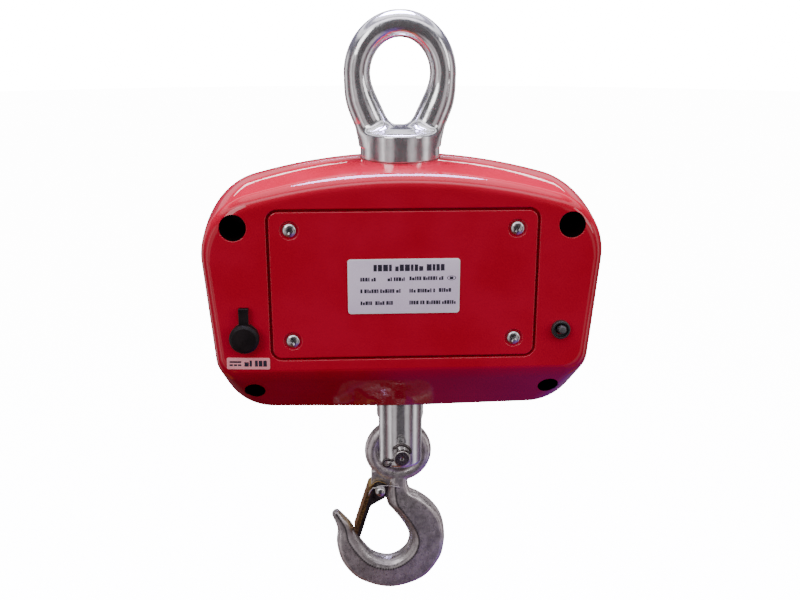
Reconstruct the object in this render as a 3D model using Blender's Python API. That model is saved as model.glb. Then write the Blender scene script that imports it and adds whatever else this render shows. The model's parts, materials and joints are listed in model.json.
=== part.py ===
"""Hanging crane scale: a lifting eye, a two-shell housing with its load cell, and a swivel safety hook.

The origin is where a crane's hook bears on the lifting eye. +Z is up. The rear, with the battery
cover, faces -Y, and the display faces +Y. Run with blender --background --python part.py.
"""

import math

import bmesh
import bpy
from mathutils import Matrix, Vector

MM = 0.001
GAP = 0.3 * MM
ROUND = 22
SMALL_ROUND = 12

# Lifting eye
EYE_STOCK = 8.7 * MM
EYE_HALF_WIDTH = 28.2 * MM
EYE_HALF_HEIGHT = 31.8 * MM
# A leg's centre line, from the ring's widest point down into the collar, in mm: x, z, stock radius
EYE_LEG = (
    (28.2, -23.1, 8.7),
    (27.5, -30.0, 9.2),
    (25.5, -38.4, 10.1),
    (21.6, -49.0, 10.7),
    (17.2, -58.6, 10.7),
    (14.3, -66.0, 10.7),
)
COLLAR_RADIUS = 26.5 * MM
COLLAR_TOP = -59.6 * MM
COLLAR_BOTTOM = -78.0 * MM
COLLAR_CLEAR = 0.6 * MM
SHANK_RADIUS = 13.5 * MM
SHANK_END = -115.6 * MM

# Housing: heights are measured from a datum inside it
HOUSING_Z = -177.6 * MM
CROWN_APEX = 114.3 * MM
CROWN_RADIUS = 370.0 * MM
CROWN_DROP = 4.5 * MM
SHOULDER = (133.2 * MM, 79.5 * MM)
SHOULDER_RADIUS = 42.0 * MM
SIDE_TAPER = 0.0794
FLOOR = -70.3 * MM
FLOOR_CAMBER = 2.5 * MM
FLOOR_RADIUS = 900.0 * MM
FLOOR_CORNER = 35.0 * MM
SHELL_DEPTH = 50.0 * MM
SEAM = 0.7 * MM
WALL = 3.5 * MM
DRAFT = 0.03
EDGE_RADIUS = 7.0 * MM
SLANT_START = 18.6 * MM
SLANT_END = -34.0 * MM
SLANT_CORNER = 12.0 * MM
NECK_HOLE = 15.0 * MM
BOSS_RADIUS = 30.5 * MM
BOSS_BOTTOM = 92.0 * MM
BOSS_TOP = 99.3 * MM
FLOOR_HOLE = 18.4 * MM

# Case screws, sunk in tubes of the rear shell
CASE_SCREWS = (
    (-107.5 * MM, 63.7 * MM, 8.5 * MM),
    (107.5 * MM, 63.7 * MM, 8.5 * MM),
    (-100.0 * MM, -52.0 * MM, 7.0 * MM),
    (100.0 * MM, -52.0 * MM, 7.0 * MM),
)
TUBE_WALL = 2.6 * MM
CASE_SCREW_RADIUS = 2.5 * MM
CASE_HEAD_RADIUS = 4.5 * MM
COUNTERBORE_FLOOR = -12.0 * MM

# Battery cover
COVER_Z = HOUSING_Z + 25.0 * MM
COVER_SIZE = (170.5 * MM, 97.0 * MM)
COVER_CORNER = 6.0 * MM
COVER_THICK = 2.8 * MM
COVER_GROOVE = 1.6 * MM
LEDGE_Y = -45.8 * MM
COVER_OPENING = (126.0 * MM, 84.0 * MM)
COVER_SCREWS = (144.5 * MM, 73.6 * MM)
COVER_SCREW_RADIUS = 2.3 * MM
COVER_HEAD_RADIUS = 4.5 * MM
DISH_RADIUS = 6.3 * MM

# Things on the rear face
FACE_Y = -SHELL_DEPTH
NAMEPLATE = (72.0 * MM, 36.4 * MM)
STICKER = (28.0 * MM, 8.0 * MM)
STICKER_AT = (-101.6 * MM, HOUSING_Z - 26.5 * MM)
SOCKET_AT = (-103.0 * MM, HOUSING_Z - 8.0 * MM)
CAP_RADIUS = 9.6 * MM
STRAP_TOP = 20.0 * MM
STRAP_HALF = 3.2 * MM
SWITCH_AT = (103.0 * MM, HOUSING_Z - 6.0 * MM)
LEVER_TILT = math.radians(12)

# Display side
WINDOW_Z = HOUSING_Z + 34.0 * MM
WINDOW_SIZE = (158.0 * MM, 62.0 * MM)
WINDOW_OPENING = (146.0 * MM, 50.0 * MM)
WINDOW_THICK = 2.5 * MM
DIGITS = 5
DIGIT_PITCH = 28.0 * MM
BUTTON_X = (-45.0 * MM, 0.0, 45.0 * MM)
BUTTON_Z = HOUSING_Z - 15.0 * MM
BUTTON_RADIUS = 8.5 * MM

# Load train
CELL_TOP = HOUSING_Z + 86.0 * MM
CELL_HALF = (28.0 * MM, 16.0 * MM)
CELL_BOTTOM = HOUSING_Z + 4.0 * MM
YOKE_TOP = CELL_BOTTOM - GAP
YOKE_BOTTOM = HOUSING_Z - 60.0 * MM
STEM_RADIUS = 12.0 * MM
CLEVIS_RADIUS = 17.0 * MM
CLEVIS_TOP = YOKE_BOTTOM - 0.6 * MM
CLEVIS_BOTTOM = HOUSING_Z - 123.5 * MM
SLOT_HALF = 7.0 * MM
SLOT_TOP = HOUSING_Z - 86.0 * MM

# Hook, measured from its pin
PIN_Z = HOUSING_Z - 108.6 * MM
PIN_RADIUS = 6.0 * MM
PIN_NEAR_END = -29.0 * MM
PIN_FAR_END = 18.0 * MM
COTTER_Y = -24.5 * MM
COTTER_TURN = math.radians(25)
HOOK_EYE = (-1.5 * MM, -7.0 * MM)
HOOK_EYE_HOLE = 13.4 * MM
HOOK_EYE_STOCK = 5.6 * MM
HOOK_EYE_HALF_THICK = 5.6 * MM
HOOK_BEVEL = 7.5 * MM
# Stations along the forging in mm: inner x, inner z, outer x, outer z, half thickness
HOOK_STATIONS = (
    (-10, -24, 8, -24, 5.4),
    (-10.5, -31, 5.6, -30, 6.2),
    (-11, -40, 7.5, -39, 6.8),
    (-9.5, -50, 15, -43.5, 7.6),
    (-5.5, -55.4, 24, -51, 8.0),
    (0.5, -63.5, 31, -61.5, 8.2),
    (5, -71.4, 33.6, -74, 8.4),
    (6.7, -78.4, 33.4, -84, 8.5),
    (4.6, -86.5, 30, -97.2, 8.5),
    (-2, -93, 17, -113.2, 8.5),
    (-10, -95.4, -7, -120.6, 8.5),
    (-20, -92, -30, -114.0, 8.2),
    (-27, -84.5, -43, -100.5, 7.6),
    (-32.6, -75.4, -48, -84, 6.8),
    (-36.6, -66.6, -47.4, -71.5, 5.6),
    (-41.6, -60.5, -48.9, -64.8, 4.8),
    (-45.8, -55.6, -51.2, -59.4, 3.6),
)
LUG_OUTLINE = (
    (-21.5, -22, 2),
    (-21.5, -38.5, 6),
    (-13, -43.5, 4),
    (-6, -44, 1),
    (-4, -22, 1),
)
LUG_HALF = 4.5 * MM

# Safety latch, measured from its rivet
LATCH_AT = (-15.0 * MM, PIN_Z - 35.4 * MM)
LATCH_LEAN = math.radians(17.0)
LATCH_WEB = -8.7 * MM
# The cheeks' outline, in mm from the rivet with the latch upright: x, z, corner radius
LATCH_CHEEK = (
    (-8.7, -1.0, 1.5),
    (-4.0, 5.6, 3.0),
    (5.5, 5.6, 5.0),
    (5.5, -6.0, 4.0),
    (-2.9, -15.0, 5.0),
    (-2.9, -43.4, 1.0),
    (-8.7, -39.0, 0.8),
)
LATCH_HALF = 7.0 * MM
SHEET = 1.5 * MM
RIVET_RADIUS = 2.0 * MM


def clear_scene():
    for old in list(bpy.data.objects):
        bpy.data.objects.remove(old, do_unlink=True)


def material(name, colour, roughness, metallic=0.0):
    made = bpy.data.materials.new(name)
    made.use_nodes = True
    shader = made.node_tree.nodes["Principled BSDF"]
    shader.inputs["Base Color"].default_value = (*colour, 1.0)
    shader.inputs["Roughness"].default_value = roughness
    shader.inputs["Metallic"].default_value = metallic
    return made


# Outlines ------------------------------------------------------------------------------------


def rounded(corners, steps=5):
    """Closed outline of 2-D points, with an arc at each corner (x, z, radius)."""
    points = []
    for i, (x, z, radius) in enumerate(corners):
        here = Vector((x, z))
        back = (Vector(corners[i - 1][:2]) - here).normalized()
        ahead = (Vector(corners[(i + 1) % len(corners)][:2]) - here).normalized()
        half = back.angle(ahead) / 2
        centre = here + (back + ahead).normalized() * radius / math.sin(half)
        first = here + back * radius / math.tan(half) - centre
        last = here + ahead * radius / math.tan(half) - centre
        turn = first.angle_signed(last)
        for k in range(steps + 1):
            points.append(centre + Matrix.Rotation(-turn * k / steps, 2) @ first)
    return points


def rectangle(width, height, corner, steps=4):
    x, z = width / 2, height / 2
    return rounded([(-x, z, corner), (x, z, corner), (x, -z, corner), (-x, -z, corner)], steps)


def housing_outline(depth, inset=0.0):
    """The housing's outline at this depth from the seam, drawn in by inset."""
    past_edge = max(0.0, depth - (SHELL_DEPTH - EDGE_RADIUS))
    rounding = EDGE_RADIUS - math.sqrt(max(0.0, EDGE_RADIUS**2 - past_edge**2))
    side = DRAFT * depth + rounding + inset
    slant = max(0.0, depth - SLANT_START) / (SHELL_DEPTH - SLANT_START)
    low = FLOOR + slant * (SLANT_END - FLOOR) + 0.4 * rounding + inset * (1 + 0.5 * (slant > 0))
    low_x = SHOULDER[0] - SIDE_TAPER * (SHOULDER[1] - low) - side
    low_corner = FLOOR_CORNER + slant * (SLANT_CORNER - FLOOR_CORNER) - inset
    drop = CROWN_DROP * (depth / SHELL_DEPTH) ** 2
    right = [
        (SHOULDER[0] - side, SHOULDER[1] - side - drop, SHOULDER_RADIUS - side),
        (low_x, low, low_corner),
    ]
    corners = [(0, CROWN_APEX - side - drop, CROWN_RADIUS - side), *right]
    corners += [(0, low - FLOOR_CAMBER * (1 - 0.7 * slant), FLOOR_RADIUS)]
    corners += [(-x, z, radius) for x, z, radius in reversed(right)]
    return [(p.x, p.y + HOUSING_Z) for p in rounded(corners, 4)]


def smooth(points, steps):
    """Catmull-Rom points through rows of numbers, with this many steps between rows."""
    rows = [Vector(p) for p in points]
    rows = [2 * rows[0] - rows[1], *rows, 2 * rows[-1] - rows[-2]]
    made = []
    for a, b, c, d in zip(rows, rows[1:], rows[2:], rows[3:]):
        for k in range(steps):
            t = k / steps
            made.append(
                0.5 * (2 * b + (c - a) * t + (2 * a - 5 * b + 4 * c - d) * t**2
                       + (3 * b - a - 3 * c + d) * t**3)
            )
    return made + [rows[-2]]


# Solids --------------------------------------------------------------------------------------


def skin(rings, closed_path=False):
    """A closed skin over rings of equally many points. Open paths get flat ends."""
    bm = bmesh.new()
    rows = [[bm.verts.new(point) for point in ring] for ring in rings]
    pairs = list(zip(rows, rows[1:])) + ([(rows[-1], rows[0])] if closed_path else [])
    for one, other in pairs:
        for i in range(len(one)):
            j = (i + 1) % len(one)
            bm.faces.new((one[i], one[j], other[j], other[i]))
    if not closed_path:
        bm.faces.new(rows[0])
        bm.faces.new(rows[-1])
    bmesh.ops.recalc_face_normals(bm, faces=bm.faces)
    return bm


def prism(outline, y0, y1):
    """An outline of (x, z) points extruded along Y."""
    return skin([[(x, y, z) for x, z in outline] for y in (y0, y1)])


def turned(profile, axis="Z", at=(0, 0, 0), steps=ROUND):
    """A solid of revolution. Its profile is a closed loop of (radius, height) points."""
    place = {
        "X": lambda r, h, a: (h, r * math.cos(a), r * math.sin(a)),
        "Y": lambda r, h, a: (r * math.cos(a), h, r * math.sin(a)),
        "Z": lambda r, h, a: (r * math.cos(a), r * math.sin(a), h),
    }[axis]
    bm = bmesh.new()
    rings = []
    for r, h in profile:
        angles = [2 * math.pi * k / steps for k in range(steps if r else 1)]
        rings.append([bm.verts.new(Vector(place(r, h, a)) + Vector(at)) for a in angles])
    for one, other in zip(rings, rings[1:] + rings[:1]):
        if len(one) == len(other) == 1:
            continue
        for i in range(steps):
            j = (i + 1) % steps
            corners = [one[i % len(one)], one[j % len(one)], other[j % len(other)], other[i % len(other)]]
            bm.faces.new(dict.fromkeys(corners))
    bmesh.ops.recalc_face_normals(bm, faces=bm.faces)
    return bm


def cylinder(radius, low, high, axis="Z", at=(0, 0, 0), steps=ROUND):
    return turned([(0, low), (radius, low), (radius, high), (0, high)], axis, at, steps)


def hexagon(radius, low, high, axis="Z", at=(0, 0, 0), bore=0.0):
    return turned([(bore, low), (radius, low), (radius, high), (bore, high)], axis, at, 6)


def block(low, high, bevel=0.0):
    bm = bmesh.new()
    bmesh.ops.create_cube(bm, size=1.0)
    size = Vector(high) - Vector(low)
    bmesh.ops.scale(bm, vec=size, verts=bm.verts)
    bmesh.ops.translate(bm, vec=Vector(low) + size / 2, verts=bm.verts)
    if bevel:
        bmesh.ops.bevel(bm, geom=bm.edges, offset=bevel, segments=2, profile=0.5, affect="EDGES")
    return bm


def tube(path, radius, sides=8):
    """A round bar along a path, without twist, of one radius or of one for each point."""
    points = [Vector(p) for p in path]
    radii = radius if isinstance(radius, list) else [radius] * len(points)
    rings = []
    normal = None
    for i, point in enumerate(points):
        along = (points[min(i + 1, len(points) - 1)] - points[max(i - 1, 0)]).normalized()
        normal = along.orthogonal() if normal is None else normal - along * normal.dot(along)
        normal.normalize()
        other = along.cross(normal)
        angles = (2 * math.pi * k / sides for k in range(sides))
        rings.append([point + radii[i] * (normal * math.cos(a) + other * math.sin(a)) for a in angles])
    return skin(rings)


def together(*solids):
    """Several separate solids in one mesh, for a cutter."""
    joined = bmesh.new()
    for bm in solids:
        mesh = bpy.data.meshes.new("joined")
        bm.to_mesh(mesh)
        joined.from_mesh(mesh)
        bpy.data.meshes.remove(mesh)
    return joined


# Objects -------------------------------------------------------------------------------------


def add(name, bm, look, origin=(0, 0, 0), parent=None):
    """An object from a mesh in world coordinates, with its own origin at this point."""
    bmesh.ops.translate(bm, vec=-Vector(origin), verts=bm.verts)
    mesh = bpy.data.meshes.new(name)
    bm.to_mesh(mesh)
    bm.free()
    mesh.shade_smooth()
    mesh.set_sharp_from_angle(angle=math.radians(35))
    mesh.materials.append(look)
    made = bpy.data.objects.new(name, mesh)
    bpy.context.collection.objects.link(made)
    made.location = origin
    if parent:
        hang(made, parent)
    return made


def axis_empty(name, location, parent=None):
    made = bpy.data.objects.new(name, None)
    made.empty_display_size = 0.02
    bpy.context.collection.objects.link(made)
    made.location = location
    if parent:
        hang(made, parent)
    bpy.context.view_layer.update()
    return made


def hang(child, parent):
    child.parent = parent
    child.matrix_parent_inverse = parent.matrix_world.inverted()


def combine(target, helper, operation, solver="EXACT"):
    """Applies a hidden helper object to the target with a Boolean.

    The shells take the manifold solver, because the exact one leaves them empty.
    """
    helper.hide_render = True
    helper.display_type = "WIRE"
    modifier = target.modifiers.new(helper.name, "BOOLEAN")
    modifier.operation = operation
    modifier.solver = solver
    modifier.object = helper
    return helper


def cut(target, name, *solids, solver="EXACT"):
    helper = add(name, together(*solids), target.data.materials[0])
    return combine(target, helper, "DIFFERENCE", solver)


def fuse(target, name, *solids):
    return combine(target, add(name, together(*solids), target.data.materials[0]), "UNION")


# Housing -------------------------------------------------------------------------------------


def shell_rings(side, inset, low, high, rounding_steps):
    """Rings of a half housing from the seam to its face. side is -1 for the rear."""
    edge = SHELL_DEPTH - EDGE_RADIUS
    depths = [low, SLANT_START, (SLANT_START + edge) / 2, edge]
    for k in range(1, rounding_steps + 1):
        depths.append(edge + EDGE_RADIUS * math.sin(math.pi / 2 * k / rounding_steps))
    depths = [d for d in depths if d < high - 1e-6] + [high]
    return [[(x, side * d, z) for x, z in housing_outline(d, inset)] for d in depths]


def half_housing(name, side, look):
    """One cup-shaped shell, its skin running from the inside floor over the rim to the face."""
    inner = shell_rings(side, WALL, SEAM, SHELL_DEPTH - WALL, 1)
    outer = shell_rings(side, 0.0, SEAM, SHELL_DEPTH, 3)
    shell = add(name, skin(inner[::-1] + outer), look)
    posts = []
    for x, z, bore in CASE_SCREWS:
        radius = bore + TUBE_WALL
        posts.append(cylinder(radius, SEAM, SHELL_DEPTH, "Y", (x, 0, HOUSING_Z + z), SMALL_ROUND))
    collar_boss = cylinder(BOSS_RADIUS, HOUSING_Z + BOSS_BOTTOM, HOUSING_Z + BOSS_TOP)
    posts = together(*posts)
    bmesh.ops.scale(posts, vec=(1, side, 1), verts=posts.verts)
    bmesh.ops.recalc_face_normals(posts, faces=posts.faces)
    posts = add(name + "_posts", posts, look)
    envelope = skin(shell_rings(side, 1.2 * MM, SEAM, SHELL_DEPTH - 1.2 * MM, 1))
    combine(posts, add(name + "_envelope", envelope, look), "INTERSECT")
    half = block((-40 * MM, min(0, side * 40 * MM) + (side > 0) * SEAM, HOUSING_Z + 90 * MM),
                 (40 * MM, max(0, side * 40 * MM) - (side < 0) * SEAM, HOUSING_Z + 105 * MM))
    boss = add(name + "_boss", collar_boss, look)
    combine(boss, add(name + "_boss_half", half, look), "INTERSECT")
    combine(shell, posts, "UNION")
    combine(shell, boss, "UNION", "MANIFOLD")
    seat_radius = COLLAR_RADIUS + COLLAR_CLEAR
    seat = cylinder(seat_radius, HOUSING_Z + BOSS_TOP, HOUSING_Z + CROWN_APEX, steps=2 * ROUND)
    cut(shell, name + "_collar_seat", seat, solver="MANIFOLD")
    return shell


def framed_opening(shell, name, side, centre_z, recess, opening, corner, ledge):
    """A recess with a ledge round an opening, on a frame behind the shell's face."""
    def plate(size, radius, y0, y1):
        outline = [(p.x, p.y + centre_z) for p in rectangle(*size, radius)]
        return prism(outline, side * y0, side * y1)

    frame = (recess[0] + 7 * MM, recess[1] + 7 * MM)
    fuse(shell, name + "_frame", plate(frame, corner, ledge - 4.2 * MM, SHELL_DEPTH - 1.2 * MM))
    past = SHELL_DEPTH + 5 * MM
    cut(shell, name + "_recess", plate(recess, corner, ledge, past), solver="MANIFOLD")
    cut(shell, name + "_opening", plate(opening, corner / 2, ledge - 9 * MM, past), solver="MANIFOLD")


def cover_screw_places():
    x, z = COVER_SCREWS[0] / 2, COVER_SCREWS[1] / 2
    return [(-x, COVER_Z + z), (x, COVER_Z + z), (-x, COVER_Z - z), (x, COVER_Z - z)]


def rear_shell(look):
    shell = half_housing("rear_shell", -1, look)
    recess = (COVER_SIZE[0] + 2 * COVER_GROOVE, COVER_SIZE[1] + 2 * COVER_GROOVE)
    framed_opening(shell, "rear_shell_cover", -1, COVER_Z, recess, COVER_OPENING,
                   COVER_CORNER + COVER_GROOVE, -LEDGE_Y)
    holes = [
        turned(
            [(0, -60 * MM), (bore, -60 * MM), (bore, COUNTERBORE_FLOOR),
             (CASE_SCREW_RADIUS + GAP, COUNTERBORE_FLOOR), (CASE_SCREW_RADIUS + GAP, 5 * MM), (0, 5 * MM)],
            "Y", (x, 0, HOUSING_Z + z), SMALL_ROUND,
        )
        for x, z, bore in CASE_SCREWS
    ]
    for x, z in cover_screw_places():
        holes.append(cylinder(COVER_SCREW_RADIUS + GAP, -49 * MM, -38 * MM, "Y", (x, 0, z), 12))
    holes.append(cylinder(8.3 * MM, -55 * MM, -40 * MM, "Y", (SOCKET_AT[0], 0, SOCKET_AT[1]), SMALL_ROUND))
    holes.append(cylinder(3.4 * MM, -55 * MM, -40 * MM, "Y", (SWITCH_AT[0], 0, SWITCH_AT[1]), SMALL_ROUND))
    holes.append(cylinder(NECK_HOLE, HOUSING_Z + 80 * MM, HOUSING_Z + 110 * MM))
    holes.append(cylinder(FLOOR_HOLE, HOUSING_Z - 90 * MM, HOUSING_Z - 50 * MM))
    cut(shell, "rear_shell_holes", *holes, solver="MANIFOLD")


def front_shell(look):
    shell = half_housing("front_shell", 1, look)
    recess = (WINDOW_SIZE[0] + 2 * GAP, WINDOW_SIZE[1] + 2 * GAP)
    framed_opening(shell, "front_shell_window", 1, WINDOW_Z, recess, WINDOW_OPENING,
                   4 * MM, SHELL_DEPTH - WINDOW_THICK - GAP)
    holes = [
        cylinder(CASE_SCREW_RADIUS + GAP, -5 * MM, 26 * MM, "Y", (x, 0, HOUSING_Z + z), 12)
        for x, z, _ in CASE_SCREWS
    ]
    for x in BUTTON_X:
        holes.append(cylinder(BUTTON_RADIUS + GAP, 40 * MM, 60 * MM, "Y", (x, 0, BUTTON_Z), SMALL_ROUND))
    holes.append(cylinder(NECK_HOLE, HOUSING_Z + 80 * MM, HOUSING_Z + 110 * MM))
    holes.append(cylinder(FLOOR_HOLE, HOUSING_Z - 90 * MM, HOUSING_Z - 50 * MM))
    cut(shell, "front_shell_holes", *holes, solver="MANIFOLD")


def shell_gaskets(look):
    """A flat rubber cord between the rims on each side, from the neck to the floor's hole."""
    thick = SEAM - GAP
    outer = [[(x, y, z) for x, z in housing_outline(0, 0.9 * MM)] for y in (-thick, thick)]
    inner = [[(x, y, z) for x, z in housing_outline(0, WALL - 0.5 * MM)] for y in (-thick, thick)]
    for name, x0, x1 in (("left", -BOSS_RADIUS - GAP, 200 * MM), ("right", -200 * MM, BOSS_RADIUS + GAP)):
        cord = skin([outer[0], outer[1], inner[1], inner[0]], closed_path=True)
        gasket = add("shell_gasket_" + name, cord, look)
        other_side = block((x0, -5 * MM, HOUSING_Z - 90 * MM), (x1, 5 * MM, HOUSING_Z + 110 * MM))
        cut(gasket, "shell_gasket_" + name + "_gap", other_side)


def case_screws(look):
    for i, (x, z, _) in enumerate(CASE_SCREWS):
        head = COUNTERBORE_FLOOR - GAP
        profile = [
            (0, head - 3.5 * MM), (CASE_HEAD_RADIUS, head - 3 * MM), (CASE_HEAD_RADIUS, head),
            (CASE_SCREW_RADIUS, head), (CASE_SCREW_RADIUS, 22 * MM), (0, 24 * MM),
        ]
        place = (x, 0, HOUSING_Z + z)
        screw = add(f"case_screw_{i + 1}", turned(profile, "Y", place, 10), look)
        cut(screw, f"case_screw_{i + 1}_socket",
            hexagon(2.3 * MM, head - 5 * MM, head - 1.5 * MM, "Y", place))


def bottom_seal(look):
    """A wiper ring in the floor, clear of the turning clevis."""
    inner, outer = CLEVIS_RADIUS + 0.4 * MM, FLOOR_HOLE - GAP
    low, high = HOUSING_Z - 71.8 * MM, HOUSING_Z - 66 * MM
    add("bottom_seal", turned([(inner, low), (outer, low), (outer, high), (inner, high)]), look)


# Battery side --------------------------------------------------------------------------------


def battery_cover(look):
    outline = [(p.x, p.y + COVER_Z) for p in rectangle(*COVER_SIZE, COVER_CORNER)]
    smaller = (COVER_SIZE[0] - 1.6 * MM, COVER_SIZE[1] - 1.6 * MM)
    front = [(p.x, p.y + COVER_Z) for p in rectangle(*smaller, COVER_CORNER - 0.8 * MM)]
    rings = [
        [(x, FACE_Y + COVER_THICK, z) for x, z in outline],
        [(x, FACE_Y + 0.8 * MM, z) for x, z in outline],
        [(x, FACE_Y, z) for x, z in front],
    ]
    cover = add("battery_cover", skin(rings), look)
    dishes = []
    for x, z in cover_screw_places():
        shank = COVER_SCREW_RADIUS + GAP
        profile = [
            (0, -52 * MM), (DISH_RADIUS, -52 * MM), (DISH_RADIUS, -49.6 * MM),
            (4.9 * MM, -48.6 * MM), (shank, -48.6 * MM), (shank, -45 * MM), (0, -45 * MM),
        ]
        dishes.append(turned(profile, "Y", (x, 0, z), SMALL_ROUND))
    cut(cover, "battery_cover_dishes", *dishes)


def cover_gasket(look):
    outer = rectangle(133 * MM, 91.4 * MM, 4 * MM)
    inner = rectangle(128 * MM, 86.4 * MM, 2 * MM)
    y0, y1 = LEDGE_Y - GAP, FACE_Y + COVER_THICK + GAP
    rings = [
        [(p.x, y, p.y + COVER_Z) for p in outline]
        for outline, y in ((outer, y0), (outer, y1), (inner, y1), (inner, y0))
    ]
    add("cover_gasket", skin(rings, closed_path=True), look)


def cover_screws(look):
    """Pan-head cross-recess screws, sitting in the dished corners of the cover."""
    for i, (x, z) in enumerate(cover_screw_places()):
        seat = -48.6 * MM - GAP
        profile = [
            (0, seat - 2.3 * MM), (2.6 * MM, seat - 2.0 * MM), (4.0 * MM, seat - 1.3 * MM),
            (COVER_HEAD_RADIUS, seat - 0.4 * MM), (COVER_HEAD_RADIUS, seat),
            (COVER_SCREW_RADIUS, seat), (COVER_SCREW_RADIUS, -39.4 * MM), (0, -38.6 * MM),
        ]
        screw = add(f"cover_screw_{i + 1}", turned(profile, "Y", (x, 0, z), SMALL_ROUND), look)
        for k, (dx, dz) in enumerate(((2.4 * MM, 0.5 * MM), (0.5 * MM, 2.4 * MM))):
            low = (x - dx, seat - 4 * MM, z - dz)
            high = (x + dx, seat - 1.0 * MM, z + dz)
            cut(screw, f"cover_screw_{i + 1}_recess_{k + 1}", block(low, high))


def nameplate(look):
    outline = [(p.x, p.y + COVER_Z - 0.4 * MM) for p in rectangle(*NAMEPLATE, 2 * MM)]
    add("nameplate", prism(outline, FACE_Y - GAP - 0.5 * MM, FACE_Y - GAP), look)


def dc_power_sticker(look):
    turn = Matrix.Rotation(math.radians(-1.5), 2)
    outline = [turn @ p for p in rectangle(*STICKER, 0.8 * MM, 2)]
    outline = [(p.x + STICKER_AT[0], p.y + STICKER_AT[1]) for p in outline]
    add("charging_sticker", prism(outline, FACE_Y - GAP - 0.25 * MM, FACE_Y - GAP), look)


def battery_parts(plastic, wrap):
    """A tray behind the cover's opening, with the pack in it."""
    def box_at(size, corner, y0, y1):
        return prism([(p.x, p.y + COVER_Z) for p in rectangle(*size, corner)], y0, y1)

    tray = add("battery_tray", box_at((132 * MM, 90 * MM), 4 * MM, -41.2 * MM, -19 * MM), plastic)
    cut(tray, "battery_tray_hollow", box_at((128.4 * MM, 86.4 * MM), 3 * MM, -50 * MM, -20.6 * MM))
    add("battery_pack", box_at((116 * MM, 72 * MM), 8 * MM, -43.5 * MM, -21.2 * MM), wrap)


def charging_socket(shell_look, metal):
    at = (SOCKET_AT[0], 0, SOCKET_AT[1])
    profile = [
        (6.2 * MM, -52.4 * MM), (9.4 * MM, -52.4 * MM), (9.4 * MM, FACE_Y - GAP), (8 * MM, FACE_Y - GAP),
        (8 * MM, -34 * MM), (0, -34 * MM), (0, -37 * MM), (6.2 * MM, -37 * MM),
    ]
    add("charging_socket", turned(profile, "Y", at, SMALL_ROUND), shell_look)
    add("charging_socket_nut", hexagon(11.5 * MM, -46.2 * MM, -42.6 * MM, "Y", at, 9.7 * MM), metal)


def charging_cap(look):
    """A rubber dust cap with its strap. It turns up about the strap's top end."""
    x, z = SOCKET_AT
    hinge = axis_empty("charging_cap_axis", (x, -52 * MM, z + STRAP_TOP))
    profile = [
        (0, -52.7 * MM), (CAP_RADIUS, -52.7 * MM), (CAP_RADIUS, -56 * MM),
        (CAP_RADIUS - 1.6 * MM, -57.8 * MM), (5.6 * MM, -58.2 * MM), (0, -58.2 * MM),
    ]
    cap = add("charging_cap", turned(profile, "Y", (x, 0, z), 18), look, hinge.location, hinge)
    left, right, top = x - STRAP_HALF, x + STRAP_HALF, z + STRAP_TOP
    strap = block((left, -54.4 * MM, z + 6 * MM), (right, -52.7 * MM, top), 0.5 * MM)
    foot = block((left, -54.4 * MM, top - 3 * MM), (right, FACE_Y - GAP, top - 0.2 * MM), 0.5 * MM)
    for name, solid in (("strap", strap), ("strap_foot", foot)):
        helper = fuse(cap, "charging_cap_" + name, solid)
        hang(helper, hinge)


def power_switch(body_look, boot_look, lever_look):
    """A small toggle: case inside, clamped boot ring outside, and a lever that tips up and down."""
    x, z = SWITCH_AT
    at = (x, 0, z)
    case = block((x - 6.5 * MM, -45.5 * MM, z - 5 * MM), (x + 6.5 * MM, -35 * MM, z + 5 * MM))
    case = add("power_switch_case", case, body_look)
    fuse(case, "power_switch_bushing", cylinder(3 * MM, -49 * MM, -44 * MM, "Y", at, SMALL_ROUND))
    ring = [
        (4.5 * MM, FACE_Y - GAP), (6.15 * MM, FACE_Y - GAP), (6.15 * MM, -52.6 * MM),
        (5.4 * MM, -53.6 * MM), (4.9 * MM, -53.6 * MM),
    ]
    add("power_switch_ring", turned(ring, "Y", at, 16), boot_look)
    pivot = Vector((x, -49.8 * MM, z))
    hinge = axis_empty("power_switch_axis", pivot)
    nose = [(0, 0), (2.7 * MM, 0), (2.6 * MM, -5.5 * MM), (1.9 * MM, -7.4 * MM), (0, -8.2 * MM)]
    lever = turned(nose, "Y", (0, 0, 0), 16)
    bmesh.ops.rotate(lever, cent=(0, 0, 0), matrix=Matrix.Rotation(-LEVER_TILT, 3, "X"), verts=lever.verts)
    bmesh.ops.translate(lever, vec=pivot, verts=lever.verts)
    add("power_switch_lever", lever, lever_look, pivot, hinge)


# Display side --------------------------------------------------------------------------------


def display_parts(window_look, board_look, digit_look, metal):
    def plate(name, size, corner, centre_z, y0, y1, look):
        outline = [(p.x, p.y + centre_z) for p in rectangle(*size, corner)]
        return add(name, prism(outline, y0, y1), look)

    inside = SHELL_DEPTH - WINDOW_THICK
    plate("display_window", WINDOW_SIZE, 4 * MM, WINDOW_Z, inside, SHELL_DEPTH, window_look)
    plate("display_board", (154 * MM, 58 * MM), 1 * MM, WINDOW_Z, 32 * MM, 33.6 * MM, board_look)
    plate("main_board", (154 * MM, 84 * MM), 1 * MM, WINDOW_Z - 10 * MM, 22 * MM, 23.6 * MM, board_look)
    for i in range(DIGITS):
        x = (i - (DIGITS - 1) / 2) * DIGIT_PITCH
        low = (x - 13.5 * MM, 33.6 * MM + GAP, WINDOW_Z - 20 * MM)
        high = (x + 13.5 * MM, 42 * MM, WINDOW_Z + 20 * MM)
        add(f"led_digit_{i + 1}", block(low, high), digit_look)
    corners = [(x, z) for x in (-71 * MM, 71 * MM) for z in (-24 * MM, 24 * MM)]
    for i, (x, z) in enumerate(corners):
        post = hexagon(3 * MM, 23.6 * MM + GAP, 32 * MM - GAP, "Y", (x, 0, WINDOW_Z + z))
        add(f"board_standoff_{i + 1}", post, metal)


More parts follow.
